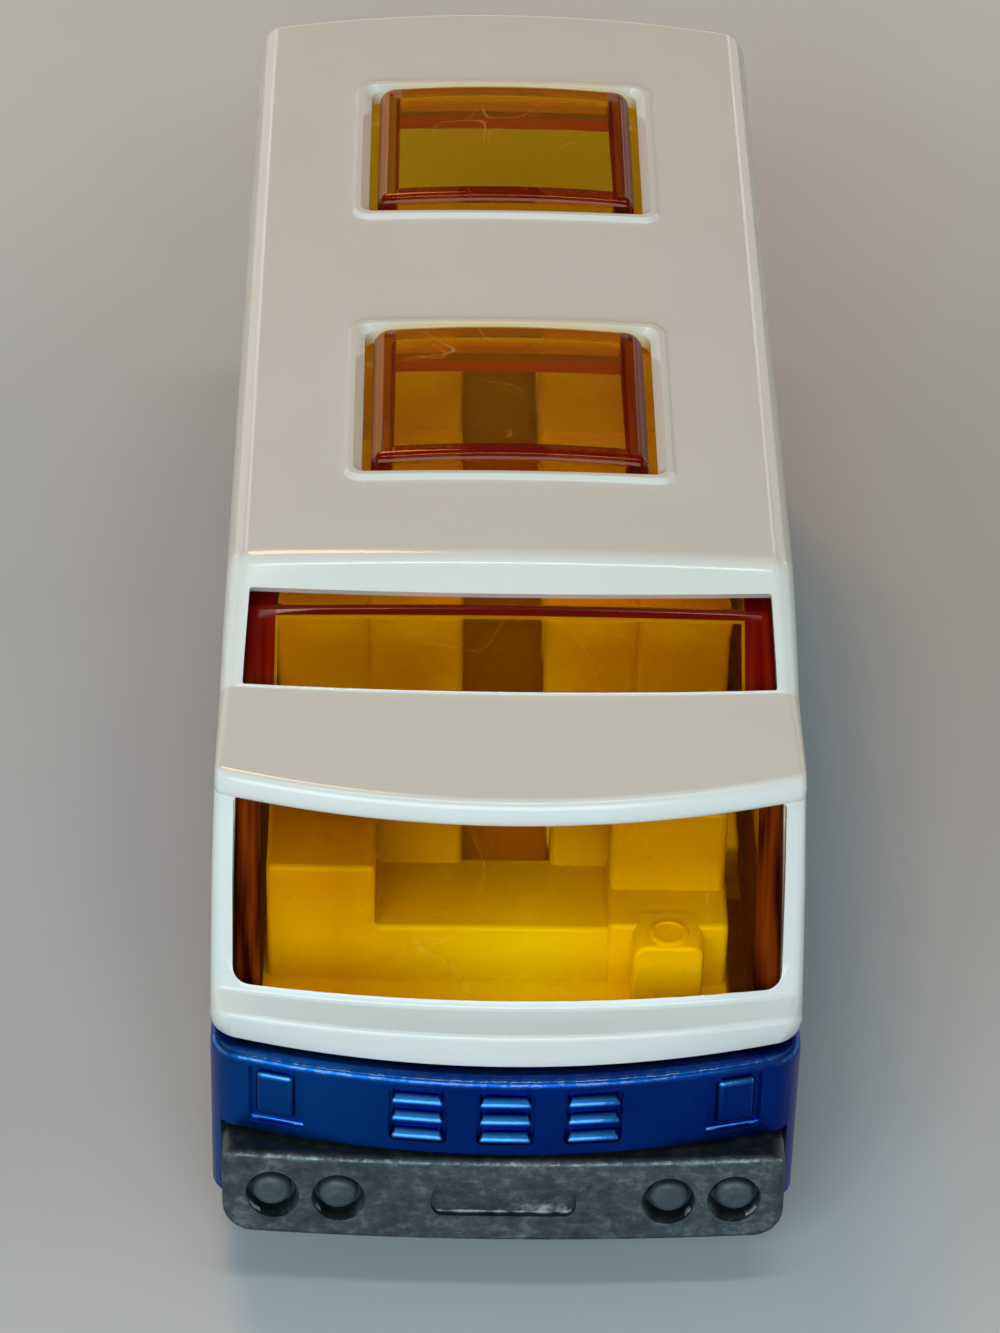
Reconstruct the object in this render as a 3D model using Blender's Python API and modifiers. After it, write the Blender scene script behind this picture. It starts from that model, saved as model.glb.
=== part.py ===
"""Pocket-size die-cast toy coach: zinc castings, plastic upper body, amber glazing and free wheels.

Metres, +Z up. The ground is Z = 0, the middle of the coach is X = Y = 0 and the front faces -Y.
The coach's own left side is +X.
"""

import math

import bmesh
import bpy
from mathutils import Matrix, Vector

# Overall sizes
BODY_LENGTH = 0.0770  # bumper to bumper
BODY_WIDTH = 0.0284
BELT_HEIGHT = 0.0130  # top edge of the painted casting
SILL_HEIGHT = 0.0039  # lower edge of the painted sides
GAP = 0.0003  # between fixed pieces that touch

# Painted casting
CASTING_WALL = 0.0010
BODY_CORNER = 0.0012
FRONT_BOW = 0.0023  # how far the front corners lie behind the middle
REAR_BOW = 0.0010
NOSE_SETBACK = 0.0009  # painted front behind the bumper's front
TAIL_SETBACK = 0.0009
ARCH_CLEARANCE = 0.0013  # arch beyond the wheel, in front of it and behind it
ARCH_CREST = 0.35  # arch's top, as a share of the room from the raised wheel up to the belt
PANEL_OFFSET = 0.0110  # square panels from the middle
PANEL_WIDTH = 0.0027
PANEL_MARGIN = 0.0005  # panel to the edges of the painted front
PANEL_DEPTH = 0.0005
PANEL_RIM = 0.0004
LOUVRE_PITCH = 0.0042  # between louvre groups
LOUVRE_WIDTH = 0.0028
LOUVRE_MARGIN = 0.0006
LOUVRE_DEPTH = 0.0005
LOUVRES = 3
SLAT_THICKNESS = 0.0004
SLAT_TILT = math.radians(35)

# Rivet posts of the painted casting
POST_RADIUS = 0.0016
POST_INSET = 0.0065  # post's axis behind the painted face
WEB_THICKNESS = 0.0014
RIVET_RADIUS = 0.0026
RIVET_THICKNESS = 0.0006
RIVET_BOSS = 0.0011  # extra thickness of the baseplate round each post

# Baseplate and bumpers
BASE_HEIGHT = 0.0034  # underside above the ground
BASE_PLATE = 0.0010
BUMPER_INSET = 0.0008  # bumper's end inside the body's side
BUMPER_LIFT = 0.0002  # bumper's lower edge above the underside
BUMPER_HEIGHT = 0.0046
BUMPER_DEPTH = 0.0036
BUMPER_LEAN = 0.0007  # top edge behind the lower edge
BUMPER_BOW = 0.0006
BUMPER_CORNER = 0.0010
REAR_BUMPER_HEIGHT = 0.0034
LAMP_OFFSETS = (0.0080, 0.0112)  # headlamps from the middle
LAMP_RADIUS = 0.0012
LENS_RADIUS = 0.0008
LAMP_DEPTH = 0.0012
LENS_SINK = 0.0004  # lens below the bumper's face
NUMBER_PLATE_WIDTH = 0.0070
NUMBER_PLATE_HEIGHT = 0.0020
NUMBER_PLATE_DEPTH = 0.0005
PILLAR_RADIUS = 0.0013  # baseplate pillars that carry the seat moulding
PILLAR_OFFSET = 0.0050
PILLAR_SPACING = 0.0180

# Running gear
WHEEL_RADIUS = 0.0052
WHEEL_WIDTH = 0.0038
WHEEL_INSET = 0.0008  # wheel's outer face inside the body's side
WHEEL_ROOM = 0.0006  # baseplate cut-out beyond the wheel
TYRE_ROUND = 0.0005
HUB_RADIUS = 0.0034
HUB_DEPTH = 0.0007
HUB_BOSS_RADIUS = 0.0013
FRONT_OVERHANG = 0.0170
REAR_OVERHANG = 0.0175
AXLE_RADIUS = 0.0005
AXLE_HEAD_RADIUS = 0.0009
AXLE_HEAD_LENGTH = 0.0004
RUNNING_CLEARANCE = 0.00008
SIDE_PLAY = 0.00025  # wheel along its axle, each way
AXLE_TRAVEL = 0.0006
LUG_THICKNESS = 0.0014
LUG_LENGTH = 0.0038
LUG_RISE = 0.0010  # lug above the raised axle
SPRING_WIDTH = 0.0050
SPRING_SPAN = 0.0080
SPRING_RISE = 0.0014
SPRING_THICKNESS = 0.0004
HEADROOM = 0.0004  # seat moulding above the raised wheels

# Upper body outline, from the belt up and from the front back
SHELL_WALL = 0.0009
SHELL_SETBACK = 0.0009  # white front behind the painted front
FRONT_BAND = 0.0019
CREASE_BOW = 0.0018
SILL_RISE = 0.0004
SILL_RUN = 0.0020
SCREEN_BOW = 0.0013
SCREEN_RISE = 0.0091
SCREEN_RAKE = math.radians(17.3)
VISOR_OVERHANG = 0.0007
VISOR_LIP = 0.0011
VISOR_LENGTH = 0.0084
VISOR_RISE = 0.0002
VISOR_BOW = 0.0020
UPPER_RISE = 0.0033
UPPER_RUN = 0.0038
UPPER_BOW = 0.0005
BROW_RISE = 0.0013
BROW_RUN = 0.0014
ROOF_CROWN = 0.0006
ROOF_ROUND = 0.0011
SIDE_LEAN = 0.0005  # each side leans in this far by the roof
TAIL_RUN = 0.0008  # rear face leans in from the belt to its shoulder
SHOULDER_RUN = 0.0010
SHOULDER_DROP = 0.0014

# Openings of the upper body
FRONT_PILLAR = 0.0013
UPPER_PILLAR = 0.0016
OPENING_ROUND = 0.0010
SCREEN_MARGIN = 0.0002  # window opening to the bends of the outline
SIDE_WINDOWS = 4
SIDE_PILLAR = 0.0015
SIDE_SILL = 0.0032  # side windows above the white lower edge
SIDE_HEAD = 0.0034  # side windows below the roof
CAB_HEAD = 0.0016  # cab windows below the visor
REAR_PILLAR = 0.0034
SKYLIGHT_WIDTH = 0.0150
SKYLIGHT_LENGTH = 0.0130
SKYLIGHT_SPACING = 0.0248
SKYLIGHT_START = 0.0072  # first skylight behind the roof's front edge

# Amber glazing
GLASS_GAP = 0.0002
GLASS_WALL = 0.0010
BLOCK_MARGIN = 0.0006  # raised block inside the skylight opening, at the sides and the rear
BLOCK_STAND = 0.0008  # raised block above the roof

# Seat moulding
TRAY_FLOOR = 0.0009
SEAT_ROWS = 7
SEAT_PITCH = 0.00775
FIRST_ROW = 0.01785  # first seat behind the bumper's front
SEAT_DEPTH = 0.0044
SEAT_HEIGHT = 0.0020
SEAT_BACK = 0.0014
SEAT_BACK_HEIGHT = 0.0066
AISLE_WIDTH = 0.0048
CAB_SETBACK = 0.0095  # front wall of the cab behind the bumper's front
CAB_LENGTH = 0.0050  # front wall to the cab's own seat backs
PLATFORM_HEIGHT = 0.00325
LOCKER_WIDTH = 0.00535
LOCKER_HEIGHT = 0.0069
DRIVER_OFFSET = 0.00485  # driver's seat from the middle
DRIVER_WIDTH = 0.00575
DRIVER_SEAT_HEIGHT = 0.0037
DRIVER_SEAT_DEPTH = 0.0025
DRIVER_BACK_HEIGHT = 0.0085
CONSOLE_WIDTH = 0.0034
CONSOLE_DEPTH = 0.0022
CONSOLE_HEIGHT = 0.0037

# Mesh fineness
STRIPS = 14  # across the bowed surfaces
ROUND_SIDES = 32
OVERRUN = 0.0010  # cutters past the faces they cut

# Worked out from the sizes above
HALF_WIDTH = BODY_WIDTH / 2
FRONT = -BODY_LENGTH / 2
REAR = BODY_LENGTH / 2
NOSE = FRONT + NOSE_SETBACK
TAIL = REAR - TAIL_SETBACK
BUMPER_HALF = HALF_WIDTH - BUMPER_INSET
BUMPER_BOTTOM = BASE_HEIGHT + BUMPER_LIFT
BUMPER_TOP = BUMPER_BOTTOM + BUMPER_HEIGHT
REAR_BUMPER_TOP = BUMPER_BOTTOM + REAR_BUMPER_HEIGHT
PLATE_TOP = BASE_HEIGHT + BASE_PLATE
FRONT_EDGE = BUMPER_TOP + GAP  # lower edge of the painted front
REAR_EDGE = REAR_BUMPER_TOP + GAP
FRONT_AXLE = FRONT + FRONT_OVERHANG
REAR_AXLE = REAR - REAR_OVERHANG
WHEEL_OUTER = HALF_WIDTH - WHEEL_INSET
WHEEL_INNER = WHEEL_OUTER - WHEEL_WIDTH
TRAY_BOTTOM = 2 * WHEEL_RADIUS + AXLE_TRAVEL + HEADROOM
TRAY_TOP = TRAY_BOTTOM + TRAY_FLOOR
SPRING_BOTTOM = WHEEL_RADIUS + AXLE_RADIUS + GAP
SPRING_TOP = SPRING_BOTTOM + SPRING_RISE + SPRING_THICKNESS
SHELL_BOTTOM = BELT_HEIGHT + GAP
GLASS_INSET = SHELL_WALL + GLASS_GAP
GLASS_BOTTOM = TRAY_TOP + GAP
GLASS_HALF = HALF_WIDTH - max(GLASS_INSET, CASTING_WALL + GLASS_GAP)
SEAT_HALF = GLASS_HALF - GLASS_WALL - GAP


def clear_scene():
    for obj in list(bpy.data.objects):
        bpy.data.objects.remove(obj)


def make_collection(name):
    collection = bpy.data.collections.new(name)
    bpy.context.scene.collection.children.link(collection)
    return collection


def make_material(name, colour, roughness, metallic=0.0):
    material = bpy.data.materials.new(name)
    material.use_nodes = True
    shader = material.node_tree.nodes["Principled BSDF"]
    shader.inputs["Base Color"].default_value = (*colour, 1.0)
    shader.inputs["Roughness"].default_value = roughness
    shader.inputs["Metallic"].default_value = metallic
    return material


clear_scene()
PARTS = make_collection("toy_coach")
CUTTERS = make_collection("cutters")


def add_object(name, bm, collection=None):
    """Turns a bmesh into an object, among the cutters unless a collection is given."""
    mesh = bpy.data.meshes.new(name)
    bmesh.ops.recalc_face_normals(bm, faces=bm.faces)
    bm.to_mesh(mesh)
    bm.free()
    obj = bpy.data.objects.new(name, mesh)
    (collection or CUTTERS).objects.link(obj)
    if collection is None:
        obj.hide_render = True
        obj.display_type = "WIRE"
    return obj


def finish(obj, material, smooth_angle=30):
    obj.data.materials.append(material)
    obj.data.shade_smooth()
    obj.data.set_sharp_from_angle(angle=math.radians(smooth_angle))


def combine(obj, other, operation):
    modifier = obj.modifiers.new(other.name, "BOOLEAN")
    modifier.operation = operation
    modifier.solver = "EXACT"
    modifier.object = other


def cut(obj, *cutters):
    for cutter in cutters:
        combine(obj, cutter, "DIFFERENCE")


def join(obj, *pieces):
    for piece in pieces:
        combine(obj, piece, "UNION")


def slab_bmesh(points, thickness):
    """A closed outline in local XY, filled and extruded both ways along local Z."""
    curve = bpy.data.curves.new("outline", "CURVE")
    curve.dimensions = "2D"
    curve.fill_mode = "BOTH"
    curve.extrude = thickness / 2
    spline = curve.splines.new("POLY")
    spline.points.add(len(points) - 1)
    for target, (u, v) in zip(spline.points, points):
        target.co = (u, v, 0.0, 1.0)
    spline.use_cyclic_u = True
    outline = bpy.data.objects.new("outline", curve)
    CUTTERS.objects.link(outline)
    depsgraph = bpy.context.evaluated_depsgraph_get()
    mesh = bpy.data.meshes.new_from_object(outline.evaluated_get(depsgraph))
    bpy.data.objects.remove(outline)
    bpy.data.curves.remove(curve)
    bm = bmesh.new()
    bm.from_mesh(mesh)
    bpy.data.meshes.remove(mesh)
    bmesh.ops.remove_doubles(bm, verts=bm.verts, dist=1e-7)
    bmesh.ops.dissolve_limit(bm, angle_limit=1e-4, verts=bm.verts, edges=bm.edges)
    return bm


def plan_slab(name, points, low, high, collection=None):
    """A plan outline standing between two heights."""
    bm = slab_bmesh(points, high - low)
    bmesh.ops.translate(bm, verts=bm.verts, vec=(0, 0, (low + high) / 2))
    return add_object(name, bm, collection)


# Local X, Y and Z of a side outline become world Y, Z and X
SIDE_VIEW = Matrix(((0, 0, 1, 0), (1, 0, 0, 0), (0, 1, 0, 0), (0, 0, 0, 1)))


def side_slab(name, points, x_low, x_high, collection=None):
    """A side outline of (y, z) points standing between two values of X."""
    bm = slab_bmesh(points, x_high - x_low)
    bm.transform(SIDE_VIEW)
    bmesh.ops.translate(bm, verts=bm.verts, vec=((x_low + x_high) / 2, 0, 0))
    return add_object(name, bm, collection)


def box(name, low, high, turn=None, rounding=0.0):
    """A box between two corners, turned about its middle, its edges along local Y rounded."""
    bm = bmesh.new()
    bmesh.ops.create_cube(bm, size=1.0)
    size = Vector(high) - Vector(low)
    bmesh.ops.scale(bm, verts=bm.verts, vec=size)
    if rounding:
        edges = [e for e in bm.edges if abs((e.verts[0].co - e.verts[1].co).y) > size.y / 2]
        bmesh.ops.bevel(
            bm, geom=edges, offset=rounding, segments=4, profile=0.5, affect="EDGES"
        )
    if turn is not None:
        bm.transform(turn)
    bmesh.ops.translate(bm, verts=bm.verts, vec=(Vector(low) + Vector(high)) / 2)
    return add_object(name, bm)


def rod(name, start, end, radius, sides=ROUND_SIDES):
    """A cylinder between two points."""
    start, end = Vector(start), Vector(end)
    bm = bmesh.new()
    bmesh.ops.create_cone(
        bm,
        cap_ends=True,
        segments=sides,
        radius1=radius,
        radius2=radius,
        depth=(end - start).length,
    )
    bm.transform((end - start).to_track_quat("Z", "Y").to_matrix().to_4x4())
    bmesh.ops.translate(bm, verts=bm.verts, vec=(start + end) / 2)
    return add_object(name, bm)


def turned(name, profile, location, turn, closed, material):
    """A (radius, height) profile turned about local Z by a Screw modifier."""
    bm = bmesh.new()
    ring = [bm.verts.new((radius, 0, height)) for radius, height in profile]
    for start, end in zip(ring, ring[1:]):
        bm.edges.new((start, end))
    if closed:
        bm.edges.new((ring[-1], ring[0]))
    obj = add_object(name, bm, PARTS)
    obj.location = location
    obj.rotation_euler = (0, turn, 0)
    screw = obj.modifiers.new("turn", "SCREW")
    screw.steps = ROUND_SIDES
    screw.render_steps = ROUND_SIDES
    screw.use_merge_vertices = True
    screw.merge_threshold = 1e-6
    screw.use_smooth_shade = True
    obj.data.materials.append(material)
    return obj


def arc(centre, radius, start, end, steps):
    """Points along an arc, angles in degrees."""
    angles = [math.radians(start + (end - start) * i / steps) for i in range(steps + 1)]
    return [(centre[0] + radius * math.cos(a), centre[1] + radius * math.sin(a)) for a in angles]


def nose_y(x, inset=0.0):
    """Painted front in plan."""
    return NOSE + inset + FRONT_BOW * (x / HALF_WIDTH) ** 2


def tail_y(x, inset=0.0):
    """Painted rear in plan."""
    return TAIL - inset - REAR_BOW * (x / HALF_WIDTH) ** 2


def plan_outline(inset):
    """The coach seen from above, drawn in by an inset, with rounded corners."""
    half = HALF_WIDTH - inset
    corner = max(BODY_CORNER - inset, BODY_CORNER / 4)
    reach = half - corner
    across = [-reach + 2 * reach * i / STRIPS for i in range(STRIPS + 1)]
    front = [(x, nose_y(x, inset)) for x in across]
    rear = [(x, tail_y(x, inset)) for x in reversed(across)]
    low = nose_y(reach, inset) + corner
    high = tail_y(reach, inset) - corner
    right_front = arc((reach, low), corner, -90, 0, 4)[1:]
    right_rear = arc((reach, high), corner, 0, 90, 4)[:-1]
    left_rear = arc((-reach, high), corner, 90, 180, 4)[1:]
    left_front = arc((-reach, low), corner, 180, 270, 4)[:-1]
    return front + right_front + right_rear + rear + left_rear + left_front


def slot_outline(width, height):
    """A long hole with round ends."""
    radius = height / 2
    reach = width / 2 - radius
    return arc((reach, 0), radius, -90, 90, 8) + arc((-reach, 0), radius, 90, 270, 8)


def face_turn(x, bow):
    """Turn about Z that faces a box along the bowed front at a place across it."""
    return Matrix.Rotation(math.atan(2 * bow * x / HALF_WIDTH**2), 4, "Z")


# Painted lower casting


def panel_pieces(name, x, y, bow, low, high):
    """A square panel: a recess cut round a block that stays in its middle."""
    turn = face_turn(x, bow)
    half = PANEL_WIDTH / 2
    recess = box(
        name + "_recess", (x - half, y - PANEL_DEPTH, low), (x + half, y + PANEL_DEPTH, high), turn
    )
    half -= PANEL_RIM
    depth = 2 * PANEL_DEPTH
    block = box(
        name + "_block",
        (x - half, y - depth, low + PANEL_RIM),
        (x + half, y + depth, high - PANEL_RIM),
        turn,
    )
    cut(recess, block)
    return recess


def louvre_pieces(x, index):
    """One group of louvres: a recess and its sloping slats."""
    low = FRONT_EDGE + LOUVRE_MARGIN
    high = BELT_HEIGHT - LOUVRE_MARGIN
    half = LOUVRE_WIDTH / 2
    y = nose_y(x)
    turn = face_turn(x, FRONT_BOW)
    recess = box(
        f"louvre_recess_{index}", (x - half, y - OVERRUN, low), (x + half, y + LOUVRE_DEPTH, high), turn
    )
    pitch = (high - low) / LOUVRES
    tilt = turn @ Matrix.Rotation(SLAT_TILT, 4, "X")
    slats = []
    for row in range(LOUVRES):
        z = low + (row + 0.5) * pitch
        middle = Vector((x, y + LOUVRE_DEPTH / 2, z))
        reach = Vector((half - GAP, LOUVRE_DEPTH, SLAT_THICKNESS / 2))
        slats.append(box(f"slat_{index}_{row}", middle - reach, middle + reach, tilt))
    return recess, slats


def post_pieces(name, y, wall_y):
    """A rivet post with its spread head, and the web that ties it to the end wall."""
    shoulder = BASE_HEIGHT + RIVET_THICKNESS
    top = TRAY_BOTTOM - GAP
    post = rod(name, (0, y, BASE_HEIGHT), (0, y, top), POST_RADIUS)
    head = rod(name + "_head", (0, y, BASE_HEIGHT), (0, y, shoulder), RIVET_RADIUS)
    half = WEB_THICKNESS / 2
    web = box(
        name + "_web",
        (-half, min(y, wall_y), FRONT_EDGE),
        (half, max(y, wall_y), top - GAP),
    )
    return post, head, web


def make_lower_body(material):
    body = plan_slab("lower_body", plan_outline(0.0), SILL_HEIGHT, BELT_HEIGHT, PARTS)
    hollow = plan_slab(
        "casting_hollow", plan_outline(CASTING_WALL), SILL_HEIGHT - OVERRUN, BELT_HEIGHT + OVERRUN
    )
    clear = BUMPER_HALF + GAP
    depth = NOSE_SETBACK + FRONT_BOW + BUMPER_DEPTH
    front_room = box(
        "front_bumper_room", (-clear, FRONT - OVERRUN, 0), (clear, FRONT + depth, FRONT_EDGE)
    )
    rear_room = box(
        "rear_bumper_room", (-clear, REAR - depth, 0), (clear, REAR + OVERRUN, REAR_EDGE)
    )
    cut(body, hollow, front_room, rear_room)
    raised_wheel = 2 * WHEEL_RADIUS + AXLE_TRAVEL
    arch_top = raised_wheel + ARCH_CREST * (BELT_HEIGHT - raised_wheel)
    radius = WHEEL_RADIUS + ARCH_CLEARANCE
    for name, y in (("front_arch", FRONT_AXLE), ("rear_arch", REAR_AXLE)):
        arch = rod(name, (-BODY_WIDTH, y, WHEEL_RADIUS), (BODY_WIDTH, y, WHEEL_RADIUS), radius)
        for vertex in arch.data.vertices:
            vertex.co.z = WHEEL_RADIUS + (vertex.co.z - WHEEL_RADIUS) * (arch_top - WHEEL_RADIUS) / radius
        cut(body, arch)
    low, high = FRONT_EDGE + PANEL_MARGIN, BELT_HEIGHT - PANEL_MARGIN
    rear_low = REAR_EDGE + PANEL_MARGIN
    for side, x in (("right", -PANEL_OFFSET), ("left", PANEL_OFFSET)):
        cut(body, panel_pieces(side + "_panel", x, nose_y(x), FRONT_BOW, low, high))
        cut(body, panel_pieces(side + "_tail", x, tail_y(x), -REAR_BOW, rear_low, high))
    for index in (-1, 0, 1):
        recess, slats = louvre_pieces(index * LOUVRE_PITCH, index)
        cut(body, recess)
        join(body, *slats)
    half_wall = CASTING_WALL / 2
    join(body, *post_pieces("front_post", NOSE + POST_INSET, NOSE + half_wall))
    join(body, *post_pieces("rear_post", TAIL - POST_INSET, TAIL - half_wall))
    finish(body, material)


# White upper body and the amber glazing inside it


def line_meeting(a, b, c, d):
    """Where the line through a and b meets the line through c and d."""
    run = (b[0] - a[0], b[1] - a[1])
    other = (d[0] - c[0], d[1] - c[1])
    cross = run[0] * other[1] - run[1] * other[0]
    along = ((c[0] - a[0]) * other[1] - (c[1] - a[1]) * other[0]) / cross
    return a[0] + run[0] * along, a[1] + run[1] * along


def shell_profile():
    """Side outline of the upper body as named (y, z) points, front bottom to rear bottom."""
    front = NOSE + SHELL_SETBACK
    crease = SHELL_BOTTOM + FRONT_BAND
    screen_bottom = (front + SILL_RUN, crease + SILL_RISE)
    screen_top = (
        screen_bottom[0] + SCREEN_RISE * math.tan(SCREEN_RAKE),
        screen_bottom[1] + SCREEN_RISE,
    )
    lip_bottom = (screen_top[0] - VISOR_OVERHANG, screen_top[1])
    lip_top = (lip_bottom[0], lip_bottom[1] + VISOR_LIP)
    visor_back = (lip_top[0] + VISOR_LENGTH, lip_top[1] + VISOR_RISE)
    window_top = (visor_back[0] + UPPER_RUN, visor_back[1] + UPPER_RISE)
    roof_front = (window_top[0] + BROW_RUN, window_top[1] + BROW_RISE)
    rear = TAIL - SHELL_SETBACK
    shoulder = (rear - TAIL_RUN, roof_front[1] - SHOULDER_DROP)
    return {
        "front_bottom": (front, SHELL_BOTTOM),
        "crease": (front, crease),
        "screen_bottom": screen_bottom,
        "screen_top": screen_top,
        "lip_bottom": lip_bottom,
        "lip_top": lip_top,
        "cab_corner": line_meeting(screen_bottom, screen_top, lip_top, visor_back),
        "visor_back": visor_back,
        "window_top": window_top,
        "roof_front": roof_front,
        "roof_rear": (shoulder[0] - SHOULDER_RUN, roof_front[1]),
        "shoulder": shoulder,
        "rear_bottom": (rear, SHELL_BOTTOM),
    }


PROFILE = shell_profile()
ROOF_HEIGHT = PROFILE["roof_front"][1]
INNER_POINTS = [name for name in PROFILE if name not in ("screen_top", "lip_bottom", "lip_top")]
OUTER_POINTS = [name for name in PROFILE if name != "cab_corner"]
BOWS = {
    "front_bottom": FRONT_BOW,
    "crease": CREASE_BOW,
    "screen_bottom": SCREEN_BOW,
    "screen_top": VISOR_BOW,
    "lip_bottom": VISOR_BOW,
    "lip_top": VISOR_BOW,
    "cab_corner": VISOR_BOW,
    "visor_back": UPPER_BOW,
    "window_top": UPPER_BOW,
    "roof_front": UPPER_BOW,
    "roof_rear": -REAR_BOW,
    "shoulder": -REAR_BOW,
    "rear_bottom": -REAR_BOW,
}
CROWNED = ("window_top", "roof_front", "roof_rear", "shoulder")


def inset_profile(inset, bottom):
    """The main outline moved inwards on every side but the open bottom."""
    corners = [PROFILE[name] for name in INNER_POINTS]
    lines = []
    for start, end in zip(corners, corners[1:]):
        run = Vector(end) - Vector(start)
        inward = Vector((run.y, -run.x)).normalized() * inset
        lines.append((Vector(start) + inward, Vector(end) + inward))
    points = [(lines[0][0].x, bottom)]
    points += [line_meeting(*first, *second) for first, second in zip(lines, lines[1:])]
    foot = line_meeting(*lines[-1], Vector((0.0, bottom)), Vector((1.0, bottom)))
    return points + [foot]


def loaf(name, points, names, half, collection=None, rounding=0.0):
    """A side outline run across the coach, bowed in plan, crowned on top and leaning in at the sides."""
    bm = slab_bmesh(points, 2 * half)
    bm.transform(SIDE_VIEW)
    for i in range(1, STRIPS):
        everything = bm.verts[:] + bm.edges[:] + bm.faces[:]
        place = (-half + 2 * half * i / STRIPS, 0, 0)
        bmesh.ops.bisect_plane(bm, geom=everything, dist=1e-7, plane_co=place, plane_no=(1, 0, 0))
    rise = ROOF_HEIGHT - SHELL_BOTTOM
    roof_edges = {"roof_front", "roof_rear", "shoulder", "rear_bottom"}
    rounded = set()
    for vert in bm.verts:
        found = min(range(len(points)), key=lambda i: (Vector(points[i]) - vert.co.yz).length)
        share = (vert.co.x / HALF_WIDTH) ** 2
        if abs(vert.co.x) > half * 0.999 and names[found] in roof_edges:
            rounded.add(vert)
        lean = SIDE_LEAN / HALF_WIDTH * (vert.co.z - SHELL_BOTTOM) / rise
        vert.co.x *= 1 - lean
        vert.co.y += BOWS[names[found]] * share
        if names[found] in CROWNED:
            vert.co.z -= ROOF_CROWN * share
    if rounding:
        edges = [e for e in bm.edges if set(e.verts) <= rounded and e.verts[0].co.x * e.verts[1].co.x > 0]
        bmesh.ops.bevel(bm, geom=edges, offset=rounding, segments=3, profile=0.5, affect="EDGES")
    return add_object(name, bm, collection)


def window_box(name, low, high, half):
    """A cutter across a sloping window, square to the line between two outline points."""
    run = Vector(high) - Vector(low)
    middle = (Vector(low) + Vector(high)) / 2
    deep = Vector((half, FRONT_BOW + 2 * SHELL_WALL + OVERRUN, run.length / 2 - SCREEN_MARGIN))
    centre = Vector((0, middle.x, middle.y))
    turn = Matrix.Rotation(math.atan2(-run.x, run.y), 4, "X")
    return box(name, centre - deep, centre + deep, turn, OPENING_ROUND)


def side_openings():
    """Side windows: one in the cab with a raked front edge, then a row between equal pillars."""
    low = SHELL_BOTTOM + SIDE_SILL
    high = ROOF_HEIGHT - SIDE_HEAD
    start = PROFILE["window_top"][0]
    end = PROFILE["roof_rear"][0] - SIDE_PILLAR
    pitch = (end - start + SIDE_PILLAR) / SIDE_WINDOWS
    windows = []
    for index in range(SIDE_WINDOWS):
        y = start + index * pitch
        corners = [(y, low), (y + pitch - SIDE_PILLAR, low)]
        corners += [(corners[1][0], high), (y, high)]
        windows.append(side_slab(f"side_window_{index}", corners, -BODY_WIDTH, BODY_WIDTH))
    cab_high = PROFILE["lip_bottom"][1] - CAB_HEAD + VISOR_LIP
    rake = math.tan(SCREEN_RAKE)
    front = PROFILE["screen_bottom"][0] + FRONT_BOW + SIDE_PILLAR
    front_low = front + (low - PROFILE["screen_bottom"][1]) * rake
    front_high = front + (cab_high - PROFILE["screen_bottom"][1]) * rake
    back = start - SIDE_PILLAR
    corners = [(front_low, low), (back, low), (back, cab_high), (front_high, cab_high)]
    windows.append(side_slab("cab_window", corners, -BODY_WIDTH, BODY_WIDTH))
    return windows


def rear_opening():
    low = SHELL_BOTTOM + SIDE_SILL
    high = ROOF_HEIGHT - SIDE_HEAD
    half = HALF_WIDTH - REAR_PILLAR
    depth = REAR_BOW + TAIL_RUN + SHOULDER_RUN + 2 * SHELL_WALL
    return box("rear_window", (-half, TAIL - depth, low), (half, REAR, high), None, OPENING_ROUND)


def skylight_middles():
    first = PROFILE["roof_front"][0] + SKYLIGHT_START + SKYLIGHT_LENGTH / 2
    return first, first + SKYLIGHT_SPACING


def skylight_box(name, y, width, length, low, high):
    half = Vector((width / 2, length / 2))
    return box(name, (-half.x, y - half.y, low), (half.x, y + half.y, high))


def make_upper_body(material):
    points = [PROFILE[name] for name in OUTER_POINTS]
    body = loaf("upper_body", points, OUTER_POINTS, HALF_WIDTH, PARTS, ROOF_ROUND)
    hollow_points = inset_profile(SHELL_WALL, SHELL_BOTTOM - OVERRUN)
    cut(body, loaf("shell_hollow", hollow_points, INNER_POINTS, HALF_WIDTH - SHELL_WALL))
    half = min(HALF_WIDTH - FRONT_PILLAR, GLASS_HALF - GLASS_GAP / 2)
    cut(body, window_box("windscreen", PROFILE["screen_bottom"], PROFILE["screen_top"], half))
    half = min(HALF_WIDTH - UPPER_PILLAR, half)
    cut(body, window_box("upper_window", PROFILE["visor_back"], PROFILE["window_top"], half))
    cut(body, *side_openings(), rear_opening())
    for index, y in enumerate(skylight_middles()):
        low, high = ROOF_HEIGHT - ROOF_CROWN - 2 * SHELL_WALL, ROOF_HEIGHT + OVERRUN
        cut(body, skylight_box(f"skylight_{index}", y, SKYLIGHT_WIDTH, SKYLIGHT_LENGTH, low, high))
    finish(body, material)


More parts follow.
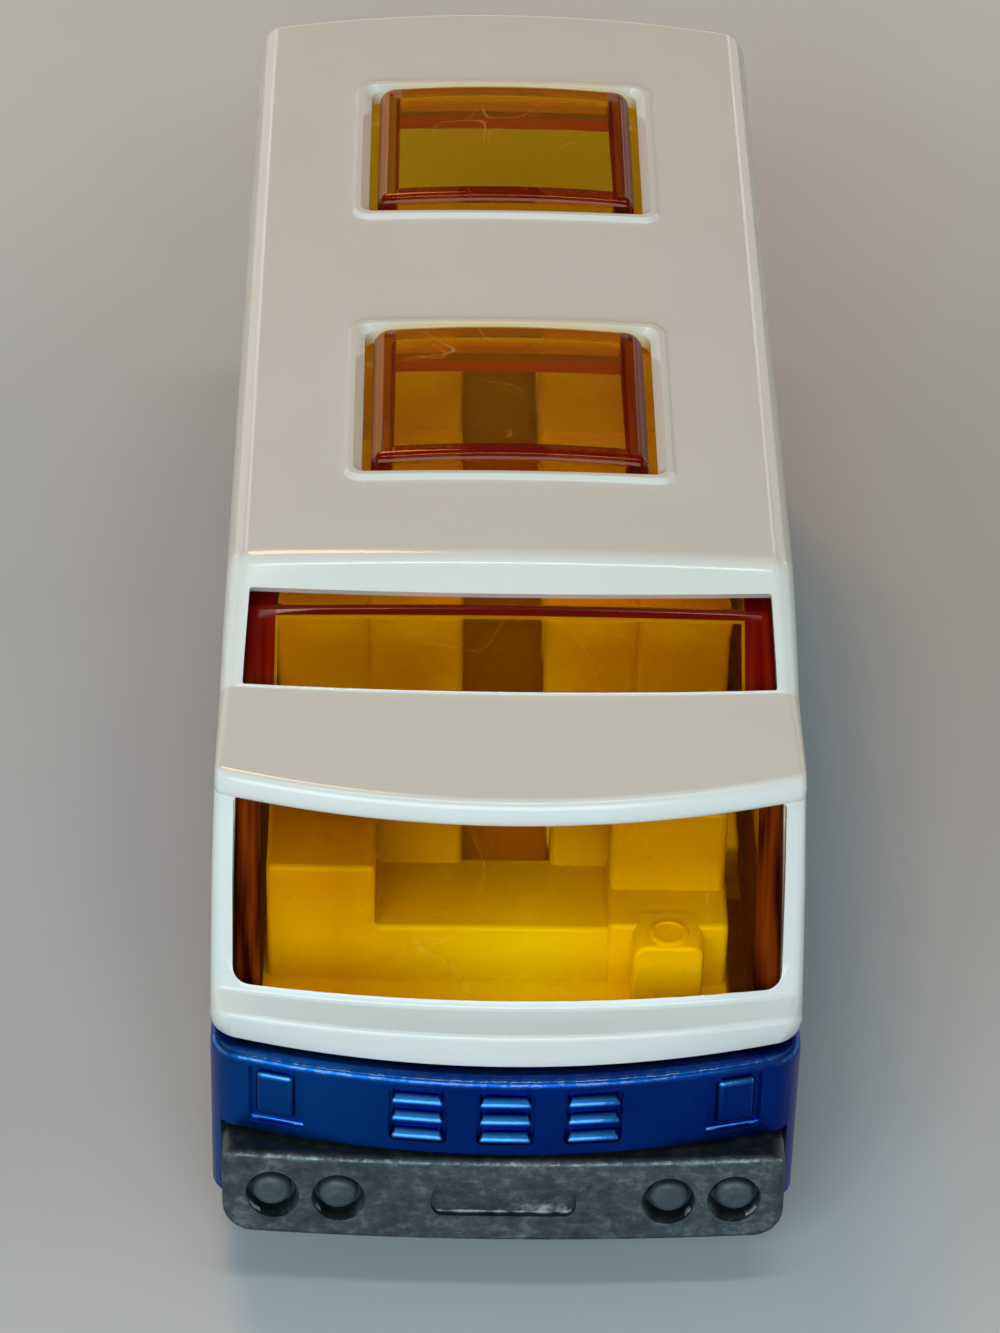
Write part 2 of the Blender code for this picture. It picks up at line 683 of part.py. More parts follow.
def make_glazing(material):
    inset = GLASS_INSET
    outer = inset_profile(inset, GLASS_BOTTOM)
    glass = loaf("window_glazing", outer, INNER_POINTS, GLASS_HALF, PARTS)
    inner = inset_profile(inset + GLASS_WALL, GLASS_BOTTOM - OVERRUN)
    hollow = loaf("glazing_hollow", inner, INNER_POINTS, GLASS_HALF - GLASS_WALL)
    top = ROOF_HEIGHT + BLOCK_STAND
    root = ROOF_HEIGHT - inset - ROOF_CROWN - GLASS_WALL / 2
    width = SKYLIGHT_WIDTH - 2 * BLOCK_MARGIN
    length = SKYLIGHT_LENGTH - BLOCK_MARGIN - GAP
    thin = 2 * GLASS_WALL
    for index, middle in enumerate(skylight_middles()):
        y = middle - (BLOCK_MARGIN - GAP) / 2
        join(glass, skylight_box(f"block_{index}", y, width, length, root, top))
        join(
            hollow,
            skylight_box(
                f"block_hollow_{index}", y, width - thin, length - thin, root - thin, top - GLASS_WALL
            ),
        )
    cut(glass, hollow)
    finish(glass, material)


# Yellow seat moulding


def bench(name, x_low, x_high, y):
    """A cushion with a backrest behind it, sunk into the tray's floor."""
    low = TRAY_TOP - TRAY_FLOOR / 2
    cushion = box(name, (x_low, y, low), (x_high, y + SEAT_DEPTH + SEAT_BACK, TRAY_TOP + SEAT_HEIGHT))
    back_y = y + SEAT_DEPTH
    back = box(
        name + "_back",
        (x_low, back_y, low),
        (x_high, back_y + SEAT_BACK, TRAY_TOP + SEAT_BACK_HEIGHT),
    )
    return cushion, back


def make_interior(material):
    inset = CASTING_WALL + GAP
    tray = plan_slab("seat_interior", plan_outline(inset), TRAY_BOTTOM, TRAY_TOP, PARTS)
    aisle = AISLE_WIDTH / 2
    sides = (("right", -SEAT_HALF, -aisle), ("left", aisle, SEAT_HALF))
    for row in range(SEAT_ROWS):
        y = FRONT + FIRST_ROW + row * SEAT_PITCH
        for side, x_low, x_high in sides:
            join(tray, *bench(f"{side}_bench_{row}", x_low, x_high, y))
    low = TRAY_TOP - TRAY_FLOOR / 2
    wall = FRONT + CAB_SETBACK
    back = wall + CAB_LENGTH
    locker_side = -SEAT_HALF + LOCKER_WIDTH
    driver_side = DRIVER_OFFSET + DRIVER_WIDTH
    cab_top = TRAY_TOP + SEAT_BACK_HEIGHT
    join(
        tray,
        box("platform", (-SEAT_HALF, wall, low), (driver_side, back, TRAY_TOP + PLATFORM_HEIGHT)),
        box("locker", (-SEAT_HALF, wall, low), (locker_side, back, TRAY_TOP + LOCKER_HEIGHT)),
        box("right_cab_back", (-SEAT_HALF, back - GAP, low), (-aisle, back + SEAT_BACK, cab_top)),
        box("left_cab_back", (aisle, back - GAP, low), (driver_side, back + SEAT_BACK, cab_top)),
    )
    seat_top = TRAY_TOP + DRIVER_SEAT_HEIGHT
    seat_back = wall + DRIVER_SEAT_DEPTH
    driver_back = TRAY_TOP + DRIVER_BACK_HEIGHT
    middle = DRIVER_OFFSET + DRIVER_WIDTH / 2
    half = CONSOLE_WIDTH / 2
    console_top = TRAY_TOP + CONSOLE_HEIGHT - GAP
    join(
        tray,
        box("driver_seat", (DRIVER_OFFSET, wall - GAP, low), (driver_side, back, seat_top)),
        box("driver_back", (DRIVER_OFFSET, seat_back, low), (driver_side, back, driver_back)),
        box("console", (middle - half, wall - CONSOLE_DEPTH, low), (middle + half, wall, console_top)),
    )
    for name, y in (("front_pad", FRONT_AXLE), ("rear_pad", REAR_AXLE)):
        pad_half = SPRING_SPAN / 2 + GAP
        join(
            tray,
            box(
                name,
                (-SPRING_WIDTH / 2, y - pad_half, SPRING_TOP + GAP),
                (SPRING_WIDTH / 2, y + pad_half, TRAY_TOP - TRAY_FLOOR / 2),
            ),
        )
    finish(tray, material)


# Bare baseplate with both bumpers


def bumper(name, face_y, inward, top):
    """A bar across the coach, its face leaning back and slightly bowed, with rounded ends."""
    bottom = BUMPER_BOTTOM
    back = face_y + inward * BUMPER_DEPTH
    corners = [(face_y, bottom), (back, bottom), (back, top), (face_y + inward * BUMPER_LEAN, top)]
    bm = slab_bmesh(corners, 2 * BUMPER_HALF)
    bm.transform(SIDE_VIEW)
    for i in range(1, STRIPS):
        everything = bm.verts[:] + bm.edges[:] + bm.faces[:]
        place = (-BUMPER_HALF + 2 * BUMPER_HALF * i / STRIPS, 0, 0)
        bmesh.ops.bisect_plane(bm, geom=everything, dist=1e-7, plane_co=place, plane_no=(1, 0, 0))
    middle = face_y + inward * BUMPER_DEPTH / 2
    ends = []
    for edge in bm.edges:
        first, second = edge.verts
        at_end = min(abs(first.co.x), abs(second.co.x)) > BUMPER_HALF * 0.999
        upright = abs(first.co.z - second.co.z) > BUMPER_CORNER
        if at_end and upright and (first.co.y - middle) * inward < 0:
            ends.append(edge)
    for vert in bm.verts:
        if (vert.co.y - middle) * inward < 0:
            vert.co.y += inward * BUMPER_BOW * (vert.co.x / BUMPER_HALF) ** 2
    bmesh.ops.bevel(bm, geom=ends, offset=BUMPER_CORNER, segments=3, profile=0.5, affect="EDGES")
    return add_object(name, bm)


def lamp_pieces(base):
    """Sunken round headlamps in the front bumper."""
    z = BUMPER_BOTTOM + BUMPER_HEIGHT / 2
    face = FRONT + BUMPER_LEAN / 2
    floor = face + LAMP_DEPTH
    for x in (*LAMP_OFFSETS, *(-x for x in LAMP_OFFSETS)):
        cut(base, rod(f"lamp_{x:.4f}", (x, face - OVERRUN, z), (x, floor, z), LAMP_RADIUS, 20))
        lens = rod(f"lens_{x:.4f}", (x, face + LENS_SINK, z), (x, floor + GAP, z), LENS_RADIUS, 16)
        join(base, lens)


def number_plate(face_y, inward, z):
    """A shallow long hole with round ends in a bumper's face."""
    bm = slab_bmesh(slot_outline(NUMBER_PLATE_WIDTH, NUMBER_PLATE_HEIGHT), 2 * OVERRUN)
    bm.transform(Matrix.Rotation(math.radians(90), 4, "X"))
    depth = NUMBER_PLATE_DEPTH + BUMPER_LEAN / 2 - OVERRUN
    bmesh.ops.translate(bm, verts=bm.verts, vec=(0, face_y + inward * depth, z))
    return add_object(f"number_plate_{face_y:.3f}", bm)


def axle_lugs(base, name, y):
    """Forked lugs that carry an axle and let it rise against its spring."""
    top = WHEEL_RADIUS + AXLE_RADIUS + AXLE_TRAVEL + LUG_RISE
    outer = WHEEL_INNER - SIDE_PLAY
    slot_half = AXLE_RADIUS + RUNNING_CLEARANCE
    for side in (-1, 1):
        x_low, x_high = sorted((side * outer, side * (outer - LUG_THICKNESS)))
        half = LUG_LENGTH / 2
        lug = box(f"{name}_lug_{side}", (x_low, y - half, BASE_HEIGHT + GAP), (x_high, y + half, top))
        join(base, lug)
    reach = outer + OVERRUN
    bottom = WHEEL_RADIUS - slot_half
    slot = box(
        name + "_slot", (-reach, y - slot_half, bottom), (reach, y + slot_half, top + OVERRUN)
    )
    cut(base, slot)


def make_baseplate(material):
    inset = CASTING_WALL + GAP
    base = plan_slab("baseplate", plan_outline(inset), BASE_HEIGHT, PLATE_TOP, PARTS)
    room = WHEEL_RADIUS + WHEEL_ROOM
    for name, y in (("front", FRONT_AXLE), ("rear", REAR_AXLE)):
        for side in (-1, 1):
            x_low, x_high = sorted((side * (WHEEL_INNER - SIDE_PLAY), side * BODY_WIDTH))
            low = (x_low, y - room, BASE_HEIGHT - OVERRUN)
            cut(base, box(f"{name}_wheel_room_{side}", low, (x_high, y + room, PLATE_TOP + OVERRUN)))
        axle_lugs(base, name, y)
    join(base, bumper("front_bumper", FRONT, 1, BUMPER_TOP))
    join(base, bumper("rear_bumper", REAR, -1, REAR_BUMPER_TOP))
    lamp_pieces(base)
    cut(base, number_plate(FRONT, 1, BUMPER_BOTTOM + BUMPER_HEIGHT / 2))
    cut(base, number_plate(REAR, -1, BUMPER_BOTTOM + REAR_BUMPER_HEIGHT / 2))
    head_room = BASE_HEIGHT + RIVET_THICKNESS + GAP
    for name, y in (("front", NOSE + POST_INSET), ("rear", TAIL - POST_INSET)):
        boss = rod(
            name + "_boss",
            (0, y, BASE_HEIGHT + GAP),
            (0, y, PLATE_TOP + RIVET_BOSS),
            RIVET_RADIUS + GAP + BASE_PLATE,
        )
        join(base, boss)
        cut(base, rod(name + "_hole", (0, y, 0), (0, y, TRAY_BOTTOM), POST_RADIUS + GAP))
        cut(base, rod(name + "_sink", (0, y, 0), (0, y, head_room), RIVET_RADIUS + GAP))
    for x in (-PILLAR_OFFSET, PILLAR_OFFSET):
        for y in (-PILLAR_SPACING / 2, PILLAR_SPACING / 2):
            y += (FRONT_AXLE + REAR_AXLE) / 2
            foot, top = (x, y, BASE_HEIGHT + GAP), (x, y, TRAY_BOTTOM - GAP)
            join(base, rod(f"pillar_{x:.3f}_{y:.3f}", foot, top, PILLAR_RADIUS, 20))
    finish(base, material)


# Axles, springs and wheels


def make_axle(name, y, material):
    shoulder = WHEEL_OUTER - HUB_DEPTH + SIDE_PLAY
    end = shoulder + AXLE_HEAD_LENGTH
    half = [
        (0.0, end),
        (AXLE_HEAD_RADIUS * 0.7, end),
        (AXLE_HEAD_RADIUS, end - AXLE_HEAD_LENGTH / 2),
        (AXLE_HEAD_RADIUS, shoulder),
        (AXLE_RADIUS, shoulder),
    ]
    profile = half + [(radius, -height) for radius, height in reversed(half)]
    turned(name, profile, (0, y, WHEEL_RADIUS), math.radians(90), False, material)


def make_wheel(name, y, side, material):
    """A hollow-backed wheel: tyre, dished face and a hub boss round the axle."""
    bore = AXLE_RADIUS + RUNNING_CLEARANCE
    outer = WHEEL_WIDTH / 2
    face = outer - HUB_DEPTH
    web = face - HUB_DEPTH
    profile = [
        (HUB_RADIUS + HUB_DEPTH, outer),
        (WHEEL_RADIUS - TYRE_ROUND, outer),
        (WHEEL_RADIUS, outer - TYRE_ROUND),
        (WHEEL_RADIUS, TYRE_ROUND - outer),
        (WHEEL_RADIUS - TYRE_ROUND, -outer),
        (HUB_RADIUS, -outer),
        (HUB_RADIUS, web - HUB_DEPTH),
        (HUB_BOSS_RADIUS, web - HUB_DEPTH),
        (HUB_BOSS_RADIUS, -outer),
        (bore, -outer),
        (bore, face),
        (HUB_BOSS_RADIUS, face),
        (HUB_BOSS_RADIUS + HUB_DEPTH, web),
        (HUB_RADIUS, web),
    ]
    place = (side * (WHEEL_OUTER - outer), y, WHEEL_RADIUS)
    turned(name, profile, place, side * math.radians(90), True, material)


def make_spring(name, y, material):
    """A bowed leaf, its middle on the axle and its ends under the seat moulding's pad."""
    half = SPRING_SPAN / 2
    steps = 12
    lower, upper = [], []
    for i in range(steps + 1):
        along = -1 + 2 * i / steps
        rise = SPRING_RISE * along**2
        lower.append((y + half * along, SPRING_BOTTOM + rise))
        upper.append((y + half * along, SPRING_BOTTOM + rise + SPRING_THICKNESS))
    outline = lower + upper[::-1]
    leaf = side_slab(name, outline, -SPRING_WIDTH / 2, SPRING_WIDTH / 2, PARTS)
    finish(leaf, material)


def main():
    make_lower_body(make_material("blue_enamel", (0.012, 0.030, 0.110), 0.3, 0.3))
    make_upper_body(make_material("white_plastic", (0.80, 0.80, 0.82), 0.3))
    make_glazing(make_material("amber_plastic", (0.75, 0.28, 0.03), 0.15))
    make_interior(make_material("yellow_plastic", (0.85, 0.58, 0.06), 0.45))
    make_baseplate(make_material("bare_zinc", (0.22, 0.22, 0.22), 0.5, 0.9))
    steel = make_material("steel_wire", (0.62, 0.61, 0.60), 0.3, 1.0)
    rubber = make_material("black_plastic", (0.012, 0.012, 0.013), 0.5)
    leaf = make_material("leaf_plastic", (0.05, 0.05, 0.05), 0.5)
    for end, y in (("front", FRONT_AXLE), ("rear", REAR_AXLE)):
        make_axle(end + "_axle", y, steel)
        make_spring(end + "_spring", y, leaf)
        make_wheel(end + "_left_wheel", y, 1, rubber)
        make_wheel(end + "_right_wheel", y, -1, rubber)


main()
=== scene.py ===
"""Looks of the toy coach: smooth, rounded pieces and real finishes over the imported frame.

Pieces are modelled in millimetres and brought to metres when they are finished. +Z is up, the front
faces -Y and the coach's own left side is +X.
"""

import math
from collections import namedtuple

import bmesh
import bpy
from mathutils import Matrix, Vector


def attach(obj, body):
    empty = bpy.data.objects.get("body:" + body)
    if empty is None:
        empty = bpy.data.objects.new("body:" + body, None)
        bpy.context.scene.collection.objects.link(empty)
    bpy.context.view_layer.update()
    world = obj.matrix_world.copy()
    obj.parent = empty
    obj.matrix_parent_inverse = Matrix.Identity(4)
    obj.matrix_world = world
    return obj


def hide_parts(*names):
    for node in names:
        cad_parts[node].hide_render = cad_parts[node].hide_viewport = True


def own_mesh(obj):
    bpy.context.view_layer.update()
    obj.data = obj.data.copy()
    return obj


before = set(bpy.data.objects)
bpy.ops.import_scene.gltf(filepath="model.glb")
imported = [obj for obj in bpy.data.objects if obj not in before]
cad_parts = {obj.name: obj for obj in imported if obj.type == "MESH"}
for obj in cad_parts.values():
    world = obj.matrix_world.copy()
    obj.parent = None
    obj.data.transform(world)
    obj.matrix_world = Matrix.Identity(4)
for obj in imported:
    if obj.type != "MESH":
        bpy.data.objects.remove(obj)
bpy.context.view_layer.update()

MM = 0.001

# Body sizes
HALF_WIDTH = 14.2
FRONT = -38.5
REAR = 38.5
NOSE = -37.6
TAIL = 37.6
NOSE_BOW = 2.3  # how far the corners of the painted front lie behind its middle
TAIL_BOW = 1.0
SILL = 3.9
BELT = 13.0
CASTING_WALL = 1.0
CASTING_CORNER = 1.2
NOSE_EDGE = 8.5  # lower edges of the painted front and rear, above the bumpers
TAIL_EDGE = 7.3
SHELL_FOOT = 13.3
SHELL_WALL = 0.9
ROOF = 30.6
ROOF_CROWN = 0.6
# How far the upper sides lean in, by height
SIDE_LEAN = ((12.0, 0.0), (17.0, 0.01), (20.5, 0.05), (24.0, 0.14), (27.0, 0.265), (32.0, 0.575))

# Running gear
AXLES = {"front": -21.5, "rear": 21.0}
WHEEL_RADIUS = 5.2
WHEEL_MIDDLE = 11.5
WHEEL_HALF = 1.9
ARCH_RADIUS = 6.5

# Fineness of the bowed forms
COLUMNS = 40
EDGE_COLUMNS = 6


# Modelling by hand

ACROSS, LENGTHWISE, UP = (1, 0, 0), (0, 1, 0), (0, 0, 1)
ALONG_X, ALONG_Y = (0, math.radians(90), 0), (math.radians(90), 0, 0)  # turns of an upright drum


def deselect_all():
    bpy.ops.object.select_all(action="DESELECT")


def focus(piece):
    deselect_all()
    piece.select_set(True)
    bpy.context.view_layer.objects.active = piece


def take(name):
    """Names the primitive that was just added and settles its place into its mesh."""
    bpy.ops.object.transform_apply()
    piece = bpy.context.active_object
    piece.name = piece.data.name = name
    return piece


def edit(piece):
    focus(piece)
    bpy.ops.object.mode_set(mode="EDIT")
    bpy.ops.mesh.select_mode(type="EDGE")
    bpy.ops.mesh.select_all(action="DESELECT")


def leave():
    bpy.ops.object.mode_set(mode="OBJECT")


def pick(piece, kind, test):
    """In edit mode, selects the verts, edges or faces that pass a test."""
    bpy.ops.mesh.select_mode(type=kind)
    bpy.ops.mesh.select_all(action="DESELECT")
    mesh = bmesh.from_edit_mesh(piece.data)
    for part in {"VERT": mesh.verts, "EDGE": mesh.edges, "FACE": mesh.faces}[kind]:
        part.select_set(bool(test(part)))
    bmesh.update_edit_mesh(piece.data)


def pull(move):
    """In edit mode, extrudes what is selected."""
    bpy.ops.mesh.extrude_region_move(TRANSFORM_OT_translate={"value": move})


def slice_at(normal, places):
    """In edit mode, cuts the whole mesh along parallel planes."""
    for place in places:
        bpy.ops.mesh.select_all(action="SELECT")
        bpy.ops.mesh.bisect(plane_co=Vector(normal) * place, plane_no=normal)


def middle_of(edge):
    return (edge.verts[0].co + edge.verts[1].co) / 2


def runs_along(edge, direction):
    run = (edge.verts[1].co - edge.verts[0].co).normalized()
    return abs(run.dot(Vector(direction))) > 0.99


def goes_in(edge):
    """True for the edges of a shallow cutter that run into the face it cuts."""
    return abs(edge.verts[0].co.y - edge.verts[1].co.y) > 0.5


def bend_of(edge):
    """Angle between the two faces of an edge, in degrees."""
    return math.degrees(edge.calc_face_angle(0.0))


def round_edges(piece, test, radius, segments=4):
    edit(piece)
    pick(piece, "EDGE", test)
    bpy.ops.mesh.bevel(offset=radius, segments=segments, affect="EDGES")
    leave()


def modify(piece, kind, **settings):
    focus(piece)
    modifier = piece.modifiers.new(kind.title(), kind)
    for setting, value in settings.items():
        setattr(modifier, setting, value)
    bpy.ops.object.modifier_apply(modifier=modifier.name)


def carve(piece, *cutters):
    for cutter in cutters:
        modify(piece, "BOOLEAN", operation="DIFFERENCE", solver="EXACT", object=cutter)
        bpy.data.objects.remove(cutter)


def weld(piece, *others):
    for other in others:
        modify(piece, "BOOLEAN", operation="UNION", solver="EXACT", object=other)
        bpy.data.objects.remove(other)


def soften(piece, width, segments=2, angle=35):
    """Breaks every sharp edge with a small round."""
    modify(
        piece,
        "BEVEL",
        width=width,
        segments=segments,
        limit_method="ANGLE",
        angle_limit=math.radians(angle),
        miter_outer="MITER_ARC",
    )


def block(name, low, high, turn=(0, 0, 0)):
    """A box between two corners, turned about its middle."""
    deselect_all()
    low, high = Vector(low), Vector(high)
    bpy.ops.mesh.primitive_cube_add(
        size=1, location=(low + high) / 2, rotation=turn, scale=high - low
    )
    return take(name)


def drum(name, middle, radius, depth, turn=(0, 0, 0), sides=48):
    deselect_all()
    bpy.ops.mesh.primitive_cylinder_add(
        vertices=sides, radius=radius, depth=depth, location=middle, rotation=turn
    )
    return take(name)


def copy_of(pattern, name, place):
    """A copy with its own mesh."""
    copy = pattern.copy()
    copy.data = pattern.data.copy()
    copy.name = copy.data.name = name
    bpy.context.scene.collection.objects.link(copy)
    copy.location = place
    return copy


def rounded_block(name, low, high, radius, segments=3, turn=(0, 0, 0)):
    piece = block(name, low, high, turn)
    round_edges(piece, lambda edge: True, radius, segments)
    return piece


def spun(name, profile, middle, side=1, closed=False, steps=72):
    """A (radius, outward) profile spun about an axle along X."""
    deselect_all()
    radius, out = profile[0]
    bpy.ops.mesh.primitive_plane_add(size=2, location=(side * out + 1, 1, radius))
    piece = take(name)
    edit(piece)
    pick(piece, "VERT", lambda vert: vert.co.x > side * out + 1 or vert.co.y > 1)
    bpy.ops.mesh.delete(type="VERT")
    bpy.ops.mesh.select_all(action="SELECT")
    for start, end in zip(profile, profile[1:] + profile[:1] if closed else profile[1:]):
        move = (side * (end[1] - start[1]), 0, end[0] - start[0])
        pull(move)
    bpy.ops.mesh.select_all(action="SELECT")
    bpy.ops.mesh.spin(steps=steps, angle=math.tau, center=(0, 0, 0), axis=(1, 0, 0))
    bpy.ops.mesh.select_all(action="SELECT")
    bpy.ops.mesh.remove_doubles(threshold=0.0005)
    bpy.ops.mesh.normals_make_consistent(inside=False)
    bpy.ops.transform.translate(value=middle)
    leave()
    return piece


def mark(piece, name, value_at):
    """Writes a number at each point of a piece, for its finish to read."""
    mesh = bmesh.new()
    mesh.from_mesh(piece.data)
    layer = mesh.verts.layers.float.new(name)
    for vert in mesh.verts:
        vert[layer] = value_at(vert)
    mesh.to_mesh(piece.data)
    mesh.free()


def wear_of(vert):
    """How far a point stands out on a small rounded edge."""
    small = all(face.calc_area() < 0.45 for face in vert.link_faces)
    bends = [edge.calc_face_angle_signed(0.0) for edge in vert.link_edges]
    return min(1.0, 2.2 * max(bends)) if small and sum(bends) > 0 else 0.0


def finish(piece, body, material, nodes=(), smooth=40):
    """Brings a piece to metres, smooths it, gives it its finish and ties it to the frame."""
    focus(piece)
    piece.scale = (MM, MM, MM)
    bpy.ops.object.transform_apply(location=False, rotation=False, scale=True)
    bpy.ops.object.shade_smooth_by_angle(angle=math.radians(smooth))
    modify(piece, "WEIGHTED_NORMAL", keep_sharp=True, weight=60)
    piece.data.materials.clear()
    piece.data.materials.append(material)
    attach(piece, body)
    if nodes:
        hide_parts(*nodes)
    return piece


# Finishes


def colour(code):
    """An sRGB hex colour as linear values."""
    values = [int(code[i : i + 2], 16) / 255 for i in (0, 2, 4)]
    linear = [v / 12.92 if v <= 0.04045 else ((v + 0.055) / 1.055) ** 2.4 for v in values]
    return (*linear, 1.0)


def add(tree, kind, inputs=None, stops=(), **settings):
    """Adds a node with its settings and colour stops, and fills its inputs or links them to other nodes."""
    made = tree.nodes.new("ShaderNode" + kind)
    for setting, value in settings.items():
        setattr(made, setting, value)
    for socket, value in (inputs or {}).items():
        if isinstance(value, bpy.types.Node):
            value = next(output for output in value.outputs if output.enabled)
        if isinstance(value, bpy.types.NodeSocket):
            tree.links.new(value, made.inputs[socket])
        else:
            made.inputs[socket].default_value = value
    while stops and len(made.color_ramp.elements) < len(stops):
        made.color_ramp.elements.new(0.5)
    for number, (position, shade) in enumerate(stops):
        values = shade if isinstance(shade, tuple) else (shade,) * 3
        made.color_ramp.elements[number].position = position
        made.color_ramp.elements[number].color = (*values, 1.0)[:4]
    return made


def finish_tree(name):
    """A material with an empty tree, and the Object coordinates that its patterns read."""
    material = bpy.data.materials.new(name)
    material.use_nodes = True
    tree = material.node_tree
    tree.nodes.clear()
    return material, tree, add(tree, "TexCoord").outputs["Object"]


def grain(size_mm):
    """Texture scale that gives features of a size in mm."""
    return 1 / (size_mm * MM)


def white_abs():
    """Glossy moulded ABS: clean white with a soft sheen, faint flow marks and a trace of handling haze."""
    material, tree, place = finish_tree("white_moulded_abs")
    flow = add(tree, "TexNoise", {"Vector": place, "Scale": grain(9.0), "Detail": 3.0, "Roughness": 0.5})
    tint = add(tree, "ValToRGB", {"Fac": flow}, [(0.3, colour("e6e6e3")), (0.7, colour("e9e9e6"))])
    haze = add(tree, "TexNoise", {"Vector": place, "Scale": grain(2.2), "Detail": 6.0, "Roughness": 0.65})
    gloss = add(tree, "ValToRGB", {"Fac": haze}, [(0.35, 0.10), (0.75, 0.17)])
    peel = add(tree, "TexNoise", {"Vector": place, "Scale": grain(0.6), "Detail": 2.0})
    bump = add(tree, "Bump", {"Height": peel, "Strength": 0.03, "Distance": 0.02 * MM})
    sink = add(tree, "TexNoise", {"Vector": place, "Scale": grain(7.0), "Detail": 1.0})
    bump = add(tree, "Bump", {"Height": sink, "Strength": 0.35, "Distance": 0.05 * MM, "Normal": bump})
    depth = {"Subsurface Weight": 0.08, "Subsurface Radius": (0.6, 0.6, 0.5), "Subsurface Scale": 1.0 * MM}
    surface = {"Base Color": tint, "Roughness": gloss, "Normal": bump, "IOR": 1.53, **depth}
    add(tree, "OutputMaterial", {"Surface": add(tree, "BsdfPrincipled", surface)})
    return material


def blue_enamel():
    """Dark blue metallic enamel sprayed thickly on a casting: deep colour, wet gloss, some orange peel."""
    material, tree, place = finish_tree("blue_metallic_enamel")
    pool = add(tree, "TexNoise", {"Vector": place, "Scale": grain(3.0), "Detail": 3.0, "Roughness": 0.5})
    tint = add(tree, "ValToRGB", {"Fac": pool}, [(0.3, colour("00247c")), (0.7, colour("00348b"))])
    # Painted reflection: the enamel is drawn paler and more teal towards the coach's right side
    spot = add(tree, "SeparateXYZ", {"Vector": place}).outputs
    thin = add(tree, "MapRange", {"Value": spot["X"], 1: -2 * MM, 2: -9 * MM, 3: 0.0, 4: 0.7})
    tint = add(tree, "Mix", {"Factor": thin, "A": tint, "B": colour("004b99")}, data_type="RGBA")
    # Painted highlight: small faces that look up are drawn in a paler blue, the rim of the belt less so
    lift = add(tree, "Attribute", attribute_name="lift").outputs["Fac"]
    rim = add(tree, "MapRange", {"Value": spot["Z"], 1: 12.3 * MM, 2: 12.5 * MM})
    bright = add(tree, "Math", {0: rim, 1: -0.75, 2: 1.0}, operation="MULTIPLY_ADD")
    bright = add(tree, "Math", {0: lift, 1: bright}, operation="MULTIPLY")
    tint = add(tree, "Mix", {"Factor": bright, "A": tint, "B": colour("358edf")}, data_type="RGBA")
    # Flakes are drawn coarser than the real ones, so that they show
    flake = add(tree, "TexVoronoi", {"Vector": place, "Scale": grain(0.10)}).outputs["Color"]
    blend = {"data_type": "RGBA", "blend_type": "SOFT_LIGHT"}
    tint = add(tree, "Mix", {"Factor": 0.12, "A": tint, "B": flake}, **blend)
    peel = add(tree, "TexNoise", {"Vector": place, "Scale": grain(0.9), "Detail": 3.0, "Roughness": 0.6})
    bump = add(tree, "Bump", {"Height": peel, "Strength": 0.35, "Distance": 0.05 * MM})
    # Wet highlights, broken into short runs along the rim
    ripple = add(tree, "TexNoise", {"Vector": place, "Scale": grain(0.45), "Detail": 2.0})
    runs = add(tree, "ValToRGB", {"Fac": ripple}, [(0.45, 0.0), (0.55, 1.0)])
    runs = add(tree, "Mix", {"Factor": rim, "A": (0.5, 0.5, 0.5, 1.0), "B": runs}, data_type="RGBA")
    wet = add(tree, "Math", {0: lift, 1: runs, 2: 0.01}, operation="MULTIPLY_ADD")
    skin = add(tree, "Bump", {"Height": ripple, "Strength": 0.5, "Distance": 0.08 * MM})
    coat = {"Coat Weight": wet, "Coat Roughness": 0.1, "Coat IOR": 1.7, "Coat Normal": skin}
    surface = {"Base Color": tint, "Metallic": 1.0, "Roughness": 0.34, "Normal": bump, **coat}
    add(tree, "OutputMaterial", {"Surface": add(tree, "BsdfPrincipled", surface)})
    return material


